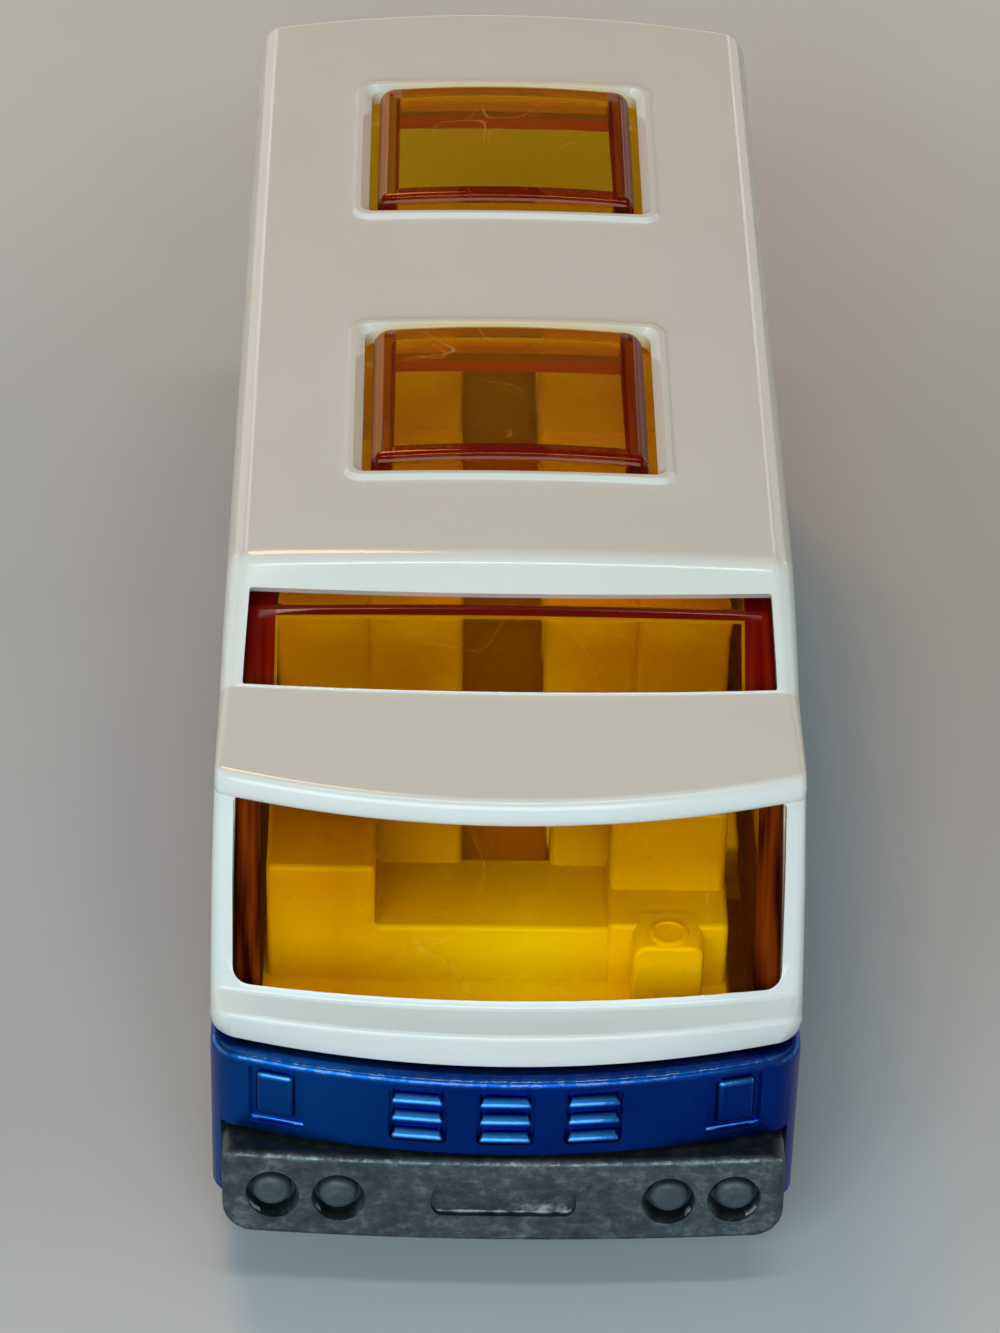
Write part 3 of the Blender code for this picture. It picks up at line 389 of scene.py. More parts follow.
def amber_clear():
    """Clear amber styrene: orange where thin, deep red where the eye looks along a wall, with painted light
    and shade on marked faces.
    """
    material, tree, place = finish_tree("amber_clear_styrene")
    haze = add(tree, "TexNoise", {"Vector": place, "Scale": grain(4.0), "Detail": 5.0, "Roughness": 0.6})
    gloss = add(tree, "ValToRGB", {"Fac": haze}, [(0.4, 0.02), (0.8, 0.08)])
    wave = add(tree, "TexNoise", {"Vector": place, "Scale": grain(3.5), "Detail": 2.0})
    bump = add(tree, "Bump", {"Height": wave, "Strength": 0.12, "Distance": 0.06 * MM})
    clear = {"Base Color": colour("fffaf0"), "Roughness": gloss, "Normal": bump, "IOR": 1.5}
    clear.update({"Specular Tint": colour("ffbc30"), "Transmission Weight": 1.0})
    milk = add(tree, "BsdfTranslucent", {"Color": colour("e78100")})
    body = add(tree, "MixShader", {0: 0.07, 1: add(tree, "BsdfPrincipled", clear), 2: milk})
    # Hair-thin curved scratches in patches, mostly on the skylights
    line = add(tree, "TexNoise", {"Vector": place, "Scale": grain(6.0), "Detail": 1.0})
    line = add(tree, "ValToRGB", {"Fac": line}, [(0.498, 0.0), (0.5, 1.0), (0.502, 0.0)])
    patch = add(tree, "TexNoise", {"Vector": place, "Scale": grain(4.0), "Detail": 1.0})
    patch = add(tree, "ValToRGB", {"Fac": patch}, [(0.54, 0.0), (0.6, 0.4)])
    height = add(tree, "SeparateXYZ", {"Vector": place}).outputs["Z"]
    high = add(tree, "MapRange", {"Value": height, 1: 29 * MM, 2: 31 * MM, 3: 0.2, 4: 1.0})
    hair = add(tree, "Math", {0: line, 1: patch}, operation="MULTIPLY")
    hair = add(tree, "Math", {0: hair, 1: high}, operation="MULTIPLY")
    scratch = add(tree, "BsdfDiffuse", {"Color": colour("edad69")})
    body = add(tree, "MixShader", {0: hair, 1: body, 2: scratch})
    # Painted light and shade on the marked faces: deep red bands, partly the amber's own colour and partly
    # painted shade, with painted streaks of light; dark red lips with painted shade; bright painted light
    # where light shows through; brown painted shade lines
    stretch = add(tree, "Mapping", {"Vector": place, "Scale": (2.2, 0.2, 0.15)})
    streak = add(tree, "TexNoise", {"Vector": stretch, "Scale": grain(1.0), "Detail": 1.0})
    low_red = add(tree, "ValToRGB", {"Fac": streak}, [(0.35, colour("300000")), (0.68, colour("863500"))])
    high_red = add(tree, "ValToRGB", {"Fac": streak}, [(0.35, colour("650300")), (0.65, colour("791200"))])
    climb = add(tree, "MapRange", {"Value": height, 1: 24.5 * MM, 2: 26 * MM})
    red = add(tree, "Mix", {"Factor": climb, "A": low_red, "B": high_red}, data_type="RGBA")
    pale_red = {"Specular Tint": colour("ffdacb")}
    for name, shade, roughness, shine, tinge in (
        ("band", red, 0.1, 0.1, {}),
        ("lip", colour("6c0a00"), 0.04, 0.35, pale_red),
        ("painted_light", colour("bc8100"), 0.1, 0.1, {}),
        ("painted_shade_line", colour("9e4200"), 0.3, 0.1, {}),
    ):
        share = add(tree, "Attribute", attribute_name=name).outputs["Fac"]
        layer = {"Base Color": shade, "Roughness": roughness, "Specular IOR Level": shine, **tinge}
        body = add(tree, "MixShader", {0: share, 1: body, 2: add(tree, "BsdfPrincipled", layer)})
    # Shadow rays pass straight through and are coloured by the depth alone
    through = add(tree, "BsdfTransparent", {"Color": colour("fffaf0")})
    shadow = add(tree, "LightPath").outputs["Is Shadow Ray"]
    surface = add(tree, "MixShader", {0: shadow, 1: body, 2: through})
    depth = add(tree, "VolumeAbsorption", {"Color": (0.977, 0.931, 0.0, 1.0), "Density": 4000.0})
    add(tree, "OutputMaterial", {"Surface": surface, "Volume": depth})
    return material


def yellow_abs():
    """Satin moulded ABS in a strong yellow, with painted light and shade: in the cab brightest at the front
    and middle and darker towards the back, up high, to its right and in the step well; in the saloon darker
    towards the floor.
    """
    material, tree, place = finish_tree("yellow_moulded_abs")
    flow = add(tree, "TexNoise", {"Vector": place, "Scale": grain(5.0), "Detail": 4.0, "Roughness": 0.55})
    tint = add(tree, "ValToRGB", {"Fac": flow}, [(0.3, colour("eac416")), (0.7, colour("f0cc1e"))])
    spot = add(tree, "SeparateXYZ", {"Vector": place}).outputs
    along = add(tree, "MapRange", {"Value": spot["Y"], 1: -31 * MM, 2: -15 * MM})
    up = add(tree, "MapRange", {"Value": spot["Z"], 1: 12 * MM, 2: 19 * MM})
    across = add(tree, "MapRange", {"Value": spot["X"], 1: -12 * MM, 2: 8 * MM})
    # Painted light and shade of the cab: gains from front to back, from its floor up and from its right to
    # its left
    inward = [(0.1, (1.18, 1.15, 1.1)), (0.22, (0.98, 0.9, 0.95)), (0.4, (0.67, 0.54, 0.56))]
    upward = [(0.28, 1.0), (0.86, (0.72, 0.58, 0.5))]
    sideways = [(0.03, 1.0), (0.2, (0.82, 0.76, 0.7)), (0.66, (1.05, 1.3, 1.0)), (0.85, (1.02, 1.12, 1.0))]
    cab = add(tree, "ValToRGB", {"Fac": along}, inward)
    for value, stops in ((up, upward), (across, sideways)):
        gain = add(tree, "ValToRGB", {"Fac": value}, stops)
        cab = add(tree, "VectorMath", {0: cab, 1: gain}, operation="MULTIPLY")
    # Painted shade: the step well at the cab's left is drawn near black
    well = add(tree, "MapRange", {"Value": spot["X"], 1: 10.7 * MM, 2: 10.9 * MM})
    cab = add(tree, "Mix", {"Factor": well, "A": cab, "B": (0.1, 0.06, 0.05, 1.0)}, data_type="RGBA")
    # Painted shade and light of the saloon: gains from its floor up
    rows = [(0.05, (0.34, 0.24, 0.2)), (0.24, (0.5, 0.4, 0.35)), (0.34, (1.2, 1.4, 1.0))]
    rows += [(0.62, (1.05, 1.0, 0.8)), (0.8, (0.88, 0.78, 0.7))]
    saloon = add(tree, "ValToRGB", {"Fac": up}, rows)
    behind = add(tree, "MapRange", {"Value": spot["Y"], 1: -23 * MM, 2: -21.5 * MM})
    shade = add(tree, "Mix", {"Factor": behind, "A": cab, "B": saloon}, data_type="RGBA")
    tint = add(tree, "VectorMath", {0: tint, 1: shade}, operation="MULTIPLY")
    rub = add(tree, "TexNoise", {"Vector": place, "Scale": grain(1.2), "Detail": 5.0})
    gloss = add(tree, "ValToRGB", {"Fac": rub}, [(0.35, 0.27), (0.7, 0.36)])
    bump = add(tree, "Bump", {"Height": rub, "Strength": 0.08, "Distance": 0.03 * MM})
    surface = {"Base Color": tint, "Roughness": gloss, "Normal": bump, "IOR": 1.53}
    add(tree, "OutputMaterial", {"Surface": add(tree, "BsdfPrincipled", surface)})
    return material


def bare_zinc(name, tints, metal):
    """Tumbled zinc casting left bare: dull, dark and mottled, with its edges worn bright, painted shade on
    what looks up and painted highlights at the lower lips of its lamp holes and plate recess.
    """
    material, tree, place = finish_tree(name)
    blotch = add(tree, "TexNoise", {"Vector": place, "Scale": grain(1.6), "Detail": 7.0, "Roughness": 0.7})
    rubs = add(tree, "Mapping", {"Vector": place, "Scale": (0.6, 1.0, 1.0)})
    speck = add(tree, "TexNoise", {"Vector": rubs, "Scale": grain(0.45), "Detail": 6.0, "Roughness": 0.75})
    both = add(tree, "Math", {0: blotch, 1: speck}, operation="MULTIPLY")
    stops = [(stop, colour(code)) for stop, code in zip((0.16, 0.27, 0.42), tints)]
    tint = add(tree, "ValToRGB", {"Fac": both}, stops)
    # Painted shade: what looks up is drawn darker
    normal = add(tree, "NewGeometry").outputs["Normal"]
    upward = add(tree, "SeparateXYZ", {"Vector": normal}).outputs["Z"]
    painted_top_shade = add(tree, "ValToRGB", {"Fac": upward}, [(0.55, 1.0), (0.88, 0.4)])
    tint = add(tree, "VectorMath", {0: tint, 1: painted_top_shade}, operation="MULTIPLY")
    # Bright metal where the edges are rubbed, and painted highlights on the lower lips of the lamp holes
    # and the plate recess
    worn = add(tree, "Attribute", attribute_name="wear_and_highlight").outputs["Fac"]
    nicks = add(tree, "TexNoise", {"Vector": place, "Scale": grain(0.7), "Detail": 5.0, "Roughness": 0.7})
    rubbed = add(tree, "Math", {0: worn, 1: nicks}, operation="MULTIPLY")
    bare = add(tree, "ValToRGB", {"Fac": rubbed}, [(0.28, 0.0), (0.52, 1.0)])
    tint = add(tree, "Mix", {"Factor": bare, "A": tint, "B": colour("b4bcbf")}, data_type="RGBA")
    dull = add(tree, "MapRange", {"Value": bare, 3: metal, 4: 0.35 * metal})
    grit = add(tree, "TexNoise", {"Vector": place, "Scale": grain(0.25), "Detail": 4.0, "Roughness": 0.7})
    gloss = add(tree, "ValToRGB", {"Fac": grit}, [(0.3, 0.42), (0.7, 0.66)])
    bump = add(tree, "Bump", {"Height": grit, "Strength": 0.5, "Distance": 0.04 * MM})
    surface = {"Base Color": tint, "Metallic": dull, "Roughness": gloss, "Normal": bump}
    add(tree, "OutputMaterial", {"Surface": add(tree, "BsdfPrincipled", surface)})
    return material


def drawn_steel():
    """Drawn steel wire: bright, with fine marks round it."""
    material, tree, place = finish_tree("drawn_steel_wire")
    marks = add(tree, "TexNoise", {"Vector": place, "Scale": grain(0.3), "Detail": 4.0, "Roughness": 0.6})
    tint = add(tree, "ValToRGB", {"Fac": marks}, [(0.3, colour("a9a8a4")), (0.7, colour("c9c8c4"))])
    gloss = add(tree, "ValToRGB", {"Fac": marks}, [(0.3, 0.22), (0.7, 0.38)])
    surface = {"Base Color": tint, "Metallic": 1.0, "Roughness": gloss}
    add(tree, "OutputMaterial", {"Surface": add(tree, "BsdfPrincipled", surface)})
    return material


def black_styrene():
    """Moulded black styrene: satin, with grey dust in patches."""
    material, tree, place = finish_tree("black_moulded_styrene")
    dust = add(tree, "TexNoise", {"Vector": place, "Scale": grain(1.1), "Detail": 6.0, "Roughness": 0.7})
    tint = add(tree, "ValToRGB", {"Fac": dust}, [(0.35, colour("141414")), (0.8, colour("2b2a29"))])
    gloss = add(tree, "ValToRGB", {"Fac": dust}, [(0.3, 0.32), (0.7, 0.55)])
    bump = add(tree, "Bump", {"Height": dust, "Strength": 0.15, "Distance": 0.03 * MM})
    surface = {"Base Color": tint, "Roughness": gloss, "Normal": bump}
    add(tree, "OutputMaterial", {"Surface": add(tree, "BsdfPrincipled", surface)})
    return material


def hub_foil():
    """Bright foil pressed on the wheel's face: mirror-like with fine rubbed marks."""
    material, tree, place = finish_tree("bright_hub_foil")
    rub = add(tree, "TexNoise", {"Vector": place, "Scale": grain(0.8), "Detail": 6.0, "Roughness": 0.7})
    tint = add(tree, "ValToRGB", {"Fac": rub}, [(0.3, colour("b9b9b8")), (0.7, colour("d6d6d4"))])
    gloss = add(tree, "ValToRGB", {"Fac": rub}, [(0.35, 0.14), (0.75, 0.32)])
    surface = {"Base Color": tint, "Metallic": 1.0, "Roughness": gloss}
    add(tree, "OutputMaterial", {"Surface": add(tree, "BsdfPrincipled", surface)})
    return material


WHITE = white_abs()
BLUE = blue_enamel()
AMBER = amber_clear()
YELLOW = yellow_abs()
ZINC = bare_zinc("bare_tumbled_zinc", ("3b4448", "50595e", "7d8689"), 0.85)
LENS = bare_zinc("dull_zinc_lamp", ("384349", "434f56", "56646b"), 0.3)
STEEL = drawn_steel()
BLACK = black_styrene()
FOIL = hub_foil()


# Side outline of the white upper body: each corner's place, how much it bows back and drops towards the
# sides, the radius of its own bend, and the radius of the side edge there

Corner = namedtuple("Corner", "y z bow crown fillet edge")
OUTLINE = {
    "foot": Corner(-36.7, SHELL_FOOT, NOSE_BOW, 0.0, 0.0, 1.2),
    "crease": Corner(-36.7, 15.05, 1.8, 0.0, 0.35, 1.0),
    "sill": Corner(-35.1, 15.5, 1.4, 0.0, 0.35, 0.6),
    "under_visor": Corner(-31.87, 24.25, 2.3, 0.0, 0.0, 0.35),
    "lip_low": Corner(-32.57, 24.25, 2.3, 0.0, 0.7, 0.35),
    "lip_top": Corner(-32.57, 25.85, 2.3, 0.0, 0.6, 0.35),
    "visor_back": Corner(-24.17, 26.0, 0.5, 0.0, 0.15, 0.8),
    "roof_front": Corner(-18.97, ROOF, 0.5, ROOF_CROWN, 1.5, 1.1),
    "roof_rear": Corner(34.9, ROOF, -TAIL_BOW, ROOF_CROWN, 0.8, 1.1),
    "shoulder": Corner(35.9, 29.2, -TAIL_BOW, ROOF_CROWN, 0.8, 1.1),
    "tail_foot": Corner(36.7, SHELL_FOOT, -TAIL_BOW, 0.0, 0.0, 1.2),
}
VISOR_CORNERS = ("under_visor", "lip_low", "lip_top")


def place_of(corner):
    return Vector((corner.y, corner.z))


def crossing(a, b, c, d):
    """Where the line through a and b meets the line through c and d."""
    run, other = b - a, d - c
    along = (c - a).cross(other) / run.cross(other)
    return a + run * along


def mitres(corners):
    """For each corner, how it moves when every side of the outline moves in by one."""
    normals = []
    for start, end in zip(corners, corners[1:]):
        run = (place_of(end) - place_of(start)).normalized()
        normals.append(Vector((run.y, -run.x)))
    pairs = zip([normals[0]] + normals, normals + [normals[-1]])
    return [(a + b) / (1 + a.dot(b)) for a, b in pairs]


def inner_corners(inset, bottom, edge, roof_drop=0.0, screen_lead=0.0):
    """The outline without its visor, moved in, with a lower roof and a windscreen further forward."""
    named = dict(OUTLINE)
    meeting = crossing(
        place_of(named["sill"]),
        place_of(named["under_visor"]),
        place_of(named["lip_top"]),
        place_of(named["visor_back"]),
    )
    named["under_visor"] = named["under_visor"]._replace(y=meeting.x, z=meeting.y)
    for below, above in (("visor_back", "roof_front"), ("tail_foot", "shoulder")):
        low, high = place_of(named[below]), place_of(named[above])
        spot = high + (low - high) * roof_drop / (high.y - low.y)
        named[above] = named[above]._replace(y=spot.x, z=spot.y)
    named["roof_rear"] = named["roof_rear"]._replace(z=ROOF - roof_drop)
    corners = [c for name, c in named.items() if name not in VISOR_CORNERS[1:]]
    moved = []
    for corner, step in zip(corners, mitres(corners)):
        spot = place_of(corner) + step * inset
        fillet = max(corner.fillet - inset, 0.15)
        moved.append(corner._replace(y=spot.x, z=spot.y, fillet=fillet, edge=edge))
    for index in range(4):
        moved[index] = moved[index]._replace(y=moved[index].y - screen_lead)
    moved[0] = moved[0]._replace(z=bottom, fillet=0.0)
    moved[-1] = moved[-1]._replace(z=bottom, fillet=0.0)
    return moved


def rounded_path(corners):
    """Points along an outline with each corner turned into an arc, each with its corner's number."""
    path = []
    for index, corner in enumerate(corners):
        here = place_of(corner)
        if not corner.fillet:
            path.append((here, index))
            continue
        before = (place_of(corners[index - 1]) - here).normalized()
        after = (place_of(corners[index + 1]) - here).normalized()
        half = before.angle(after) / 2
        start = here + before * corner.fillet / math.tan(half)
        centre = here + (before + after).normalized() * corner.fillet / math.sin(half)
        turn = math.pi - 2 * half
        if before.cross(after) > 0:
            turn = -turn
        steps = max(2, round(abs(turn) / math.radians(12)))
        for step in range(steps + 1):
            path.append((centre + Matrix.Rotation(turn * step / steps, 2) @ (start - centre), index))
    return path


def lean_in(piece):
    """Brings the upper sides inwards with height, more and more towards the roof."""
    edit(piece)
    slice_at(UP, [z for z, _ in SIDE_LEAN[1:-1]])
    leave()
    for vert in piece.data.vertices:
        for (low, start), (high, end) in zip(SIDE_LEAN, SIDE_LEAN[1:]):
            if vert.co.z <= high:
                break
        lean = start + (end - start) * (vert.co.z - low) / (high - low)
        vert.co.x *= 1 - lean / HALF_WIDTH


def loaf(name, corners, half):
    """A side outline run across the coach: bowed in plan, crowned on top, round along its side edges."""
    path = rounded_path(corners)
    steps = mitres(corners)
    start = path[0][0]
    deselect_all()
    bpy.ops.mesh.primitive_plane_add(size=2 * half, location=(0, start.x + half, start.y))
    form = take(name)
    edit(form)
    pick(form, "VERT", lambda vert: vert.co.y > start.x + half)
    bpy.ops.mesh.delete(type="VERT")
    bpy.ops.mesh.select_all(action="SELECT")
    bpy.ops.mesh.subdivide(number_cuts=COLUMNS - 1)
    for (here, _), (there, _) in zip(path, path[1:] + path[:1]):
        move = (0, there.x - here.x, there.y - here.y)
        pull(move)
    bpy.ops.mesh.select_all(action="SELECT")
    bpy.ops.mesh.remove_doubles(threshold=0.001)
    leave()
    flat = 1 - 2 * EDGE_COLUMNS / COLUMNS
    for vert in form.data.vertices:
        spot, index = min(path, key=lambda point: (point[0] - vert.co.yz).length_squared)
        corner = corners[index]
        side = abs(vert.co.x) / half
        angle = max(side - flat, 0) / (1 - flat) * math.pi / 2
        x = min(side / flat, 1) * (half - corner.edge) + corner.edge * math.sin(angle)
        inward = steps[index] * corner.edge * (1 - math.cos(angle))
        share = (x / HALF_WIDTH) ** 2
        y = spot.x + inward.x + corner.bow * share
        z = spot.y + inward.y - corner.crown * share
        vert.co = (math.copysign(x, vert.co.x), y, z)
    edit(form)
    bpy.ops.mesh.select_all(action="SELECT")
    bpy.ops.mesh.fill_holes(sides=0)
    bpy.ops.mesh.select_all(action="SELECT")
    bpy.ops.mesh.normals_make_consistent(inside=False)
    leave()
    return form


# White upper body

SIDE_LOW = 16.5
SIDE_HIGH = 27.2
CAB_HIGH = 24.2
SIDE_LENGTH = 12.31
SIDE_PILLAR = 1.5
SIDE_STARTS = [-20.35 + (SIDE_LENGTH + SIDE_PILLAR) * i for i in range(4)]
CAB_WINDOW = (-31.4, -21.9)
CAB_RAKE = 2.9  # how far its front edge leans back
REAR_HALF = 10.8
SCREEN_HALF = 13.25
SCREEN_DIP = 1.6  # how far its sill drops at the cutter's inner face and rises at the outer
UPPER_HALF = 13.0
UPPER_SPAN = (0.15, 5.0)  # up the slope from the visor
SKYLIGHTS = (-5.25, 19.55)
SKYLIGHT_HALF = Vector((7.62, 6.7))


def sloping_window(name, low, high, half, rounds, bows, dip=0.0, flare=0.0):
    """A cutter square to a sloping, bowed face, its corners rounded, its lower edge dipping inwards."""
    run = high - low
    deep = 2.0
    middle = Vector((0, (low.x + high.x) / 2, (low.y + high.y) / 2))
    reach = Vector((half, deep, run.length / 2))
    lean = math.atan2(-run.x, run.y)
    cutter = block(name, middle - reach, middle + reach, (lean, 0, 0))
    up = Vector((0, run.x, run.y)).normalized()
    inward = Vector((0, up.z, -up.y))
    end = run.length / 2 - 0.01
    for sign, radius in zip((-1, 1), rounds):
        at_end = lambda e: runs_along(e, inward) and sign * (middle_of(e) - middle).dot(up) > end
        round_edges(cutter, at_end, radius, 6)
    edit(cutter)
    for sign in (-1, 1):
        below = lambda v: (v.co - middle).dot(up) < 0 and sign * (v.co - middle).dot(inward) > 0
        pick(cutter, "VERT", below)
        bpy.ops.transform.translate(value=up * -sign * dip)
    slice_at(ACROSS, [(step / 8 - 1) * half for step in range(1, 16)])
    leave()
    for vert in cutter.data.vertices:
        climb = (vert.co - middle).dot(up) / run.length + 0.5
        vert.co.x *= 1 + flare / half * (1 - climb)
        vert.co.y += (bows[0] + (bows[1] - bows[0]) * climb) * (vert.co.x / HALF_WIDTH) ** 2
    return cutter


def side_window(name, start, end, high, rake=0.0):
    cutter = block(name, (-20, start, SIDE_LOW), (20, end, high))
    if rake:
        edit(cutter)
        pick(cutter, "VERT", lambda v: v.co.y < start + 0.01 and v.co.z > high - 0.01)
        bpy.ops.transform.translate(value=(0, rake, 0))
        leave()
    round_edges(cutter, lambda edge: runs_along(edge, ACROSS), 0.8, 6)
    return cutter


def skylight_form(name, y, low, high, heights, corner, segments):
    """A rounded block about a skylight's middle, its top drawn up and brought to another size."""
    foot, shoulder, crest = heights
    form = block(name, (-low.x, y - low.y, foot), (low.x, y + low.y, shoulder))
    round_edges(form, lambda edge: runs_along(edge, UP), corner, segments)
    edit(form)
    pick(form, "FACE", lambda face: face.normal.z > 0.9)
    pull((0, 0, crest - shoulder))
    bpy.ops.transform.resize(value=(high.x / low.x, high.y / low.y, 1), center_override=(0, y, ROOF))
    return form


def skylight_rim(y):
    """A raised lip round a skylight, steep outside and following the roof's crown."""
    low, high = SKYLIGHT_HALF + Vector((0.95, 0.62)), SKYLIGHT_HALF + Vector((0.76, 0.4))
    rim = skylight_form("rim", y, low, high, (ROOF - 0.4, ROOF - 0.03, ROOF + 0.24), 0.9, 6)
    slice_at(ACROSS, [step - 9.05 for step in range(1, 18)])
    leave()
    for vert in rim.data.vertices:
        vert.co.z -= ROOF_CROWN * (vert.co.x / HALF_WIDTH) ** 2
    return rim


def skylight_hole(y):
    """A cutter for a skylight, its sides flaring up to the crest of the lip."""
    high = SKYLIGHT_HALF + Vector((0.8, 0.15))
    hole = skylight_form("skylight", y, SKYLIGHT_HALF, high, (ROOF - 1.5, ROOF - 0.33, ROOF + 0.3), 0.7, 5)
    leave()
    return hole


def make_shell():
    shell = loaf("upper_shell", list(OUTLINE.values()), HALF_WIDTH)
    inside = inner_corners(SHELL_WALL, SHELL_FOOT - 1.0, 0.5)
    carve(shell, loaf("shell_hollow", inside, HALF_WIDTH - SHELL_WALL))
    sill, top = place_of(OUTLINE["sill"]), place_of(OUTLINE["under_visor"])
    slope = (top - sill).normalized()
    bows = (OUTLINE["sill"].bow, OUTLINE["under_visor"].bow)
    bottom, top = sill + slope * 0.42, top - slope * 0.1
    rounds = (0.75, 0.3)
    carve(shell, sloping_window("windscreen", bottom, top, SCREEN_HALF, rounds, bows, SCREEN_DIP, -0.14))
    low, high = place_of(OUTLINE["visor_back"]), place_of(OUTLINE["roof_front"])
    slope = (high - low).normalized()
    bottom, top = (low + slope * climb for climb in UPPER_SPAN)
    rounds, bows = (0.12, 0.12), (0.5, 0.5)
    carve(shell, sloping_window("upper_window", bottom, top, UPPER_HALF, rounds, bows, flare=0.1))
    for index, start in enumerate(SIDE_STARTS):
        carve(shell, side_window(f"side_window_{index}", start, start + SIDE_LENGTH, SIDE_HIGH))
    carve(shell, side_window("cab_window", *CAB_WINDOW, CAB_HIGH, CAB_RAKE))
    rear = block("rear_window", (-REAR_HALF, 34.0, SIDE_LOW), (REAR_HALF, 39.0, SIDE_HIGH))
    round_edges(rear, lambda edge: runs_along(edge, LENGTHWISE), 1.0, 6)
    carve(shell, rear)
    for y in SKYLIGHTS:
        weld(shell, skylight_rim(y))
        carve(shell, skylight_hole(y))
    soften(shell, 0.13)
    lean_in(shell)
    finish(shell, "coach_body", WHITE, ["upper_body"])


# Amber glazing

GLASS_INSET = 1.1
GLASS_WALL = 1.0
GLASS_HALF = 13.2
GLASS_FOOT = 13.05
BROW_DROP = 1.25  # how much lower its roof is behind the upper window than a plain inset
BROW_STEP = (3.0, 4.5)  # where its roof starts and stops stepping up, behind its front bend
BEND = 5  # number of that bend in the outline
PLATE_LIFT = 0.25  # how much thinner its roof is than its other walls
PLATE_HIGH = 29.4  # where the roof's thickness ends and the raised blocks begin
BLOCK_HALF = 7.15
BLOCK_SPAN = (-6.2, 5.9)  # front and rear of a block from the middle of its skylight
BLOCK_TOP = 31.4
BLOCK_CROWN = 0.35
BLOCK_LID = 0.5
SCREEN_BAND = 11.85  # where the painted deep red and shade at the ends of each pane begins
UPPER_BAND = 11.4
BLOCK_BAND = 5.75
PAINTED_LIGHT_LINE = 0.15  # width of the painted light line beside the upper window's bands
BEND_ROWS = (0.32, 0.44)  # how far below the bend its painted red line and its painted light line end
BLOCK_ROWS = (-5.7, -5.25, 3.9)  # where a block's painted lip and front band end and its painted light at the back begins


def skylight_block(name, y, inset, lid):
    """A raised block with rounded edges, crowned across the roof, or the hollow inside it."""
    half = BLOCK_HALF - inset
    front, rear = y + BLOCK_SPAN[0] + inset, y + BLOCK_SPAN[1] - inset
    top = BLOCK_TOP - lid
    piece = block(name, (-half, front, 28.0), (half, rear, top))
    corner = 0.9 - 0.6 * inset
    round_edges(piece, lambda e: runs_along(e, UP) and middle_of(e).y > y, corner, 5)
    round_edges(piece, lambda e: runs_along(e, UP) and middle_of(e).y < y, corner / 2, 4)
    round_edges(piece, lambda e: middle_of(e).z > top - 0.01 and bend_of(e) > 60, 0.55 - 0.35 * inset, 5)
    edit(piece)
    slice_at(ACROSS, [-half + 2 * half * step / 12 for step in range(1, 12)])
    leave()
    for vert in piece.data.vertices:
        if vert.co.z > 29.5:
            vert.co.z -= BLOCK_CROWN * (vert.co.x / BLOCK_HALF) ** 2
    return piece


def mark_painted_bands(glass, bend):
    """Marks the faces that get painted deep red, light and shade where the eye looks along a wall, cut free
    along the bands' edges.
    """
    edit(glass)
    bands = (SCREEN_BAND, UPPER_BAND, UPPER_BAND - PAINTED_LIGHT_LINE, BLOCK_BAND)
    slice_at(ACROSS, [side * x for x in bands for side in (-1, 1)])
    slice_at(LENGTHWISE, [y + step for y in SKYLIGHTS for step in BLOCK_ROWS])
    slice_at(UP, [PLATE_HIGH])
    leave()
    for name in ("band", "lip", "painted_light", "painted_shade_line"):
        layer = glass.data.attributes.new(name, "FLOAT", "FACE")
        for face in glass.data.polygons:
            layer.data[face.index].value = painted_colour_at(face.center, face.normal, bend).get(name, 0.0)


def painted_colour_at(spot, way, bend):
    """Which painted colours a face of the glazing shows (deep red, painted shade and painted light), and
    how much of each.
    """
    inner = spot.x * way.x < -0.1
    lip, edge, back = BLOCK_ROWS
    share = (spot.x / HALF_WIDTH) ** 2
    ahead = spot.y - min(SKYLIGHTS, key=lambda y: abs(spot.y - y))
    if 4.5 < ahead < 5.5 and way.y < -0.5 and spot.z < PLATE_HIGH and abs(spot.x) < BLOCK_HALF:
        return {"painted_shade_line": 0.85}
    if spot.z > 29.6:
        height = spot.z + BLOCK_CROWN * (spot.x / BLOCK_HALF) ** 2
        if ahead < lip:
            return {"lip": 0.85 if height > 30.95 else 0.1}
        if abs(way.x) > 0.12 and not inner:
            return {"band": 0.9} if spot.x > 0 else {"painted_light": 0.5, "painted_shade_line": 0.45}
        if abs(spot.x) > BLOCK_BAND:
            return {"band": 0.65 if spot.x > 0 else 0.2}
        if ahead < edge:
            return {"band": 0.85}
        return {"painted_light": 0.3 if ahead > back else 0.0}
    below = bend.z - bend.crown * share - spot.z
    if spot.y < -12 and way.z > 0.5 and abs(spot.x) > UPPER_BAND and below < 0.3:
        return {"band": 1.0}
    if spot.y > -16 or way.y > -0.05 or inner or abs(way.x) > 0.99:
        return {}
    if abs(spot.x) > (UPPER_BAND if spot.z > 25.5 else SCREEN_BAND):
        return {"band": 1.0}
    if spot.z > 25.5 and abs(spot.x) > UPPER_BAND - PAINTED_LIGHT_LINE and below > BEND_ROWS[1]:
        return {"painted_light": 0.7}
    if spot.y > bend.y + 1.0 or way.y > -0.2 or below > BEND_ROWS[1]:
        return {}
    return {"lip": 0.9} if below < BEND_ROWS[0] else {"painted_light": 0.6}


def glass_outline(inset, bottom, edge, lift=0.0, lead=0.0):
    """The glazing's side outline: low behind the upper window, then stepping up under the roof."""
    low = inner_corners(inset, bottom, edge, BROW_DROP, lead)
    high = inner_corners(inset, bottom, edge, -lift, lead)
    bend = low[BEND]
    steps = zip(BROW_STEP, (bend.z, high[BEND].z))
    steps = [bend._replace(y=bend.y + along, z=z, fillet=0.2) for along, z in steps]
    return [*low[: BEND + 1], *steps, *high[BEND + 1 :]]


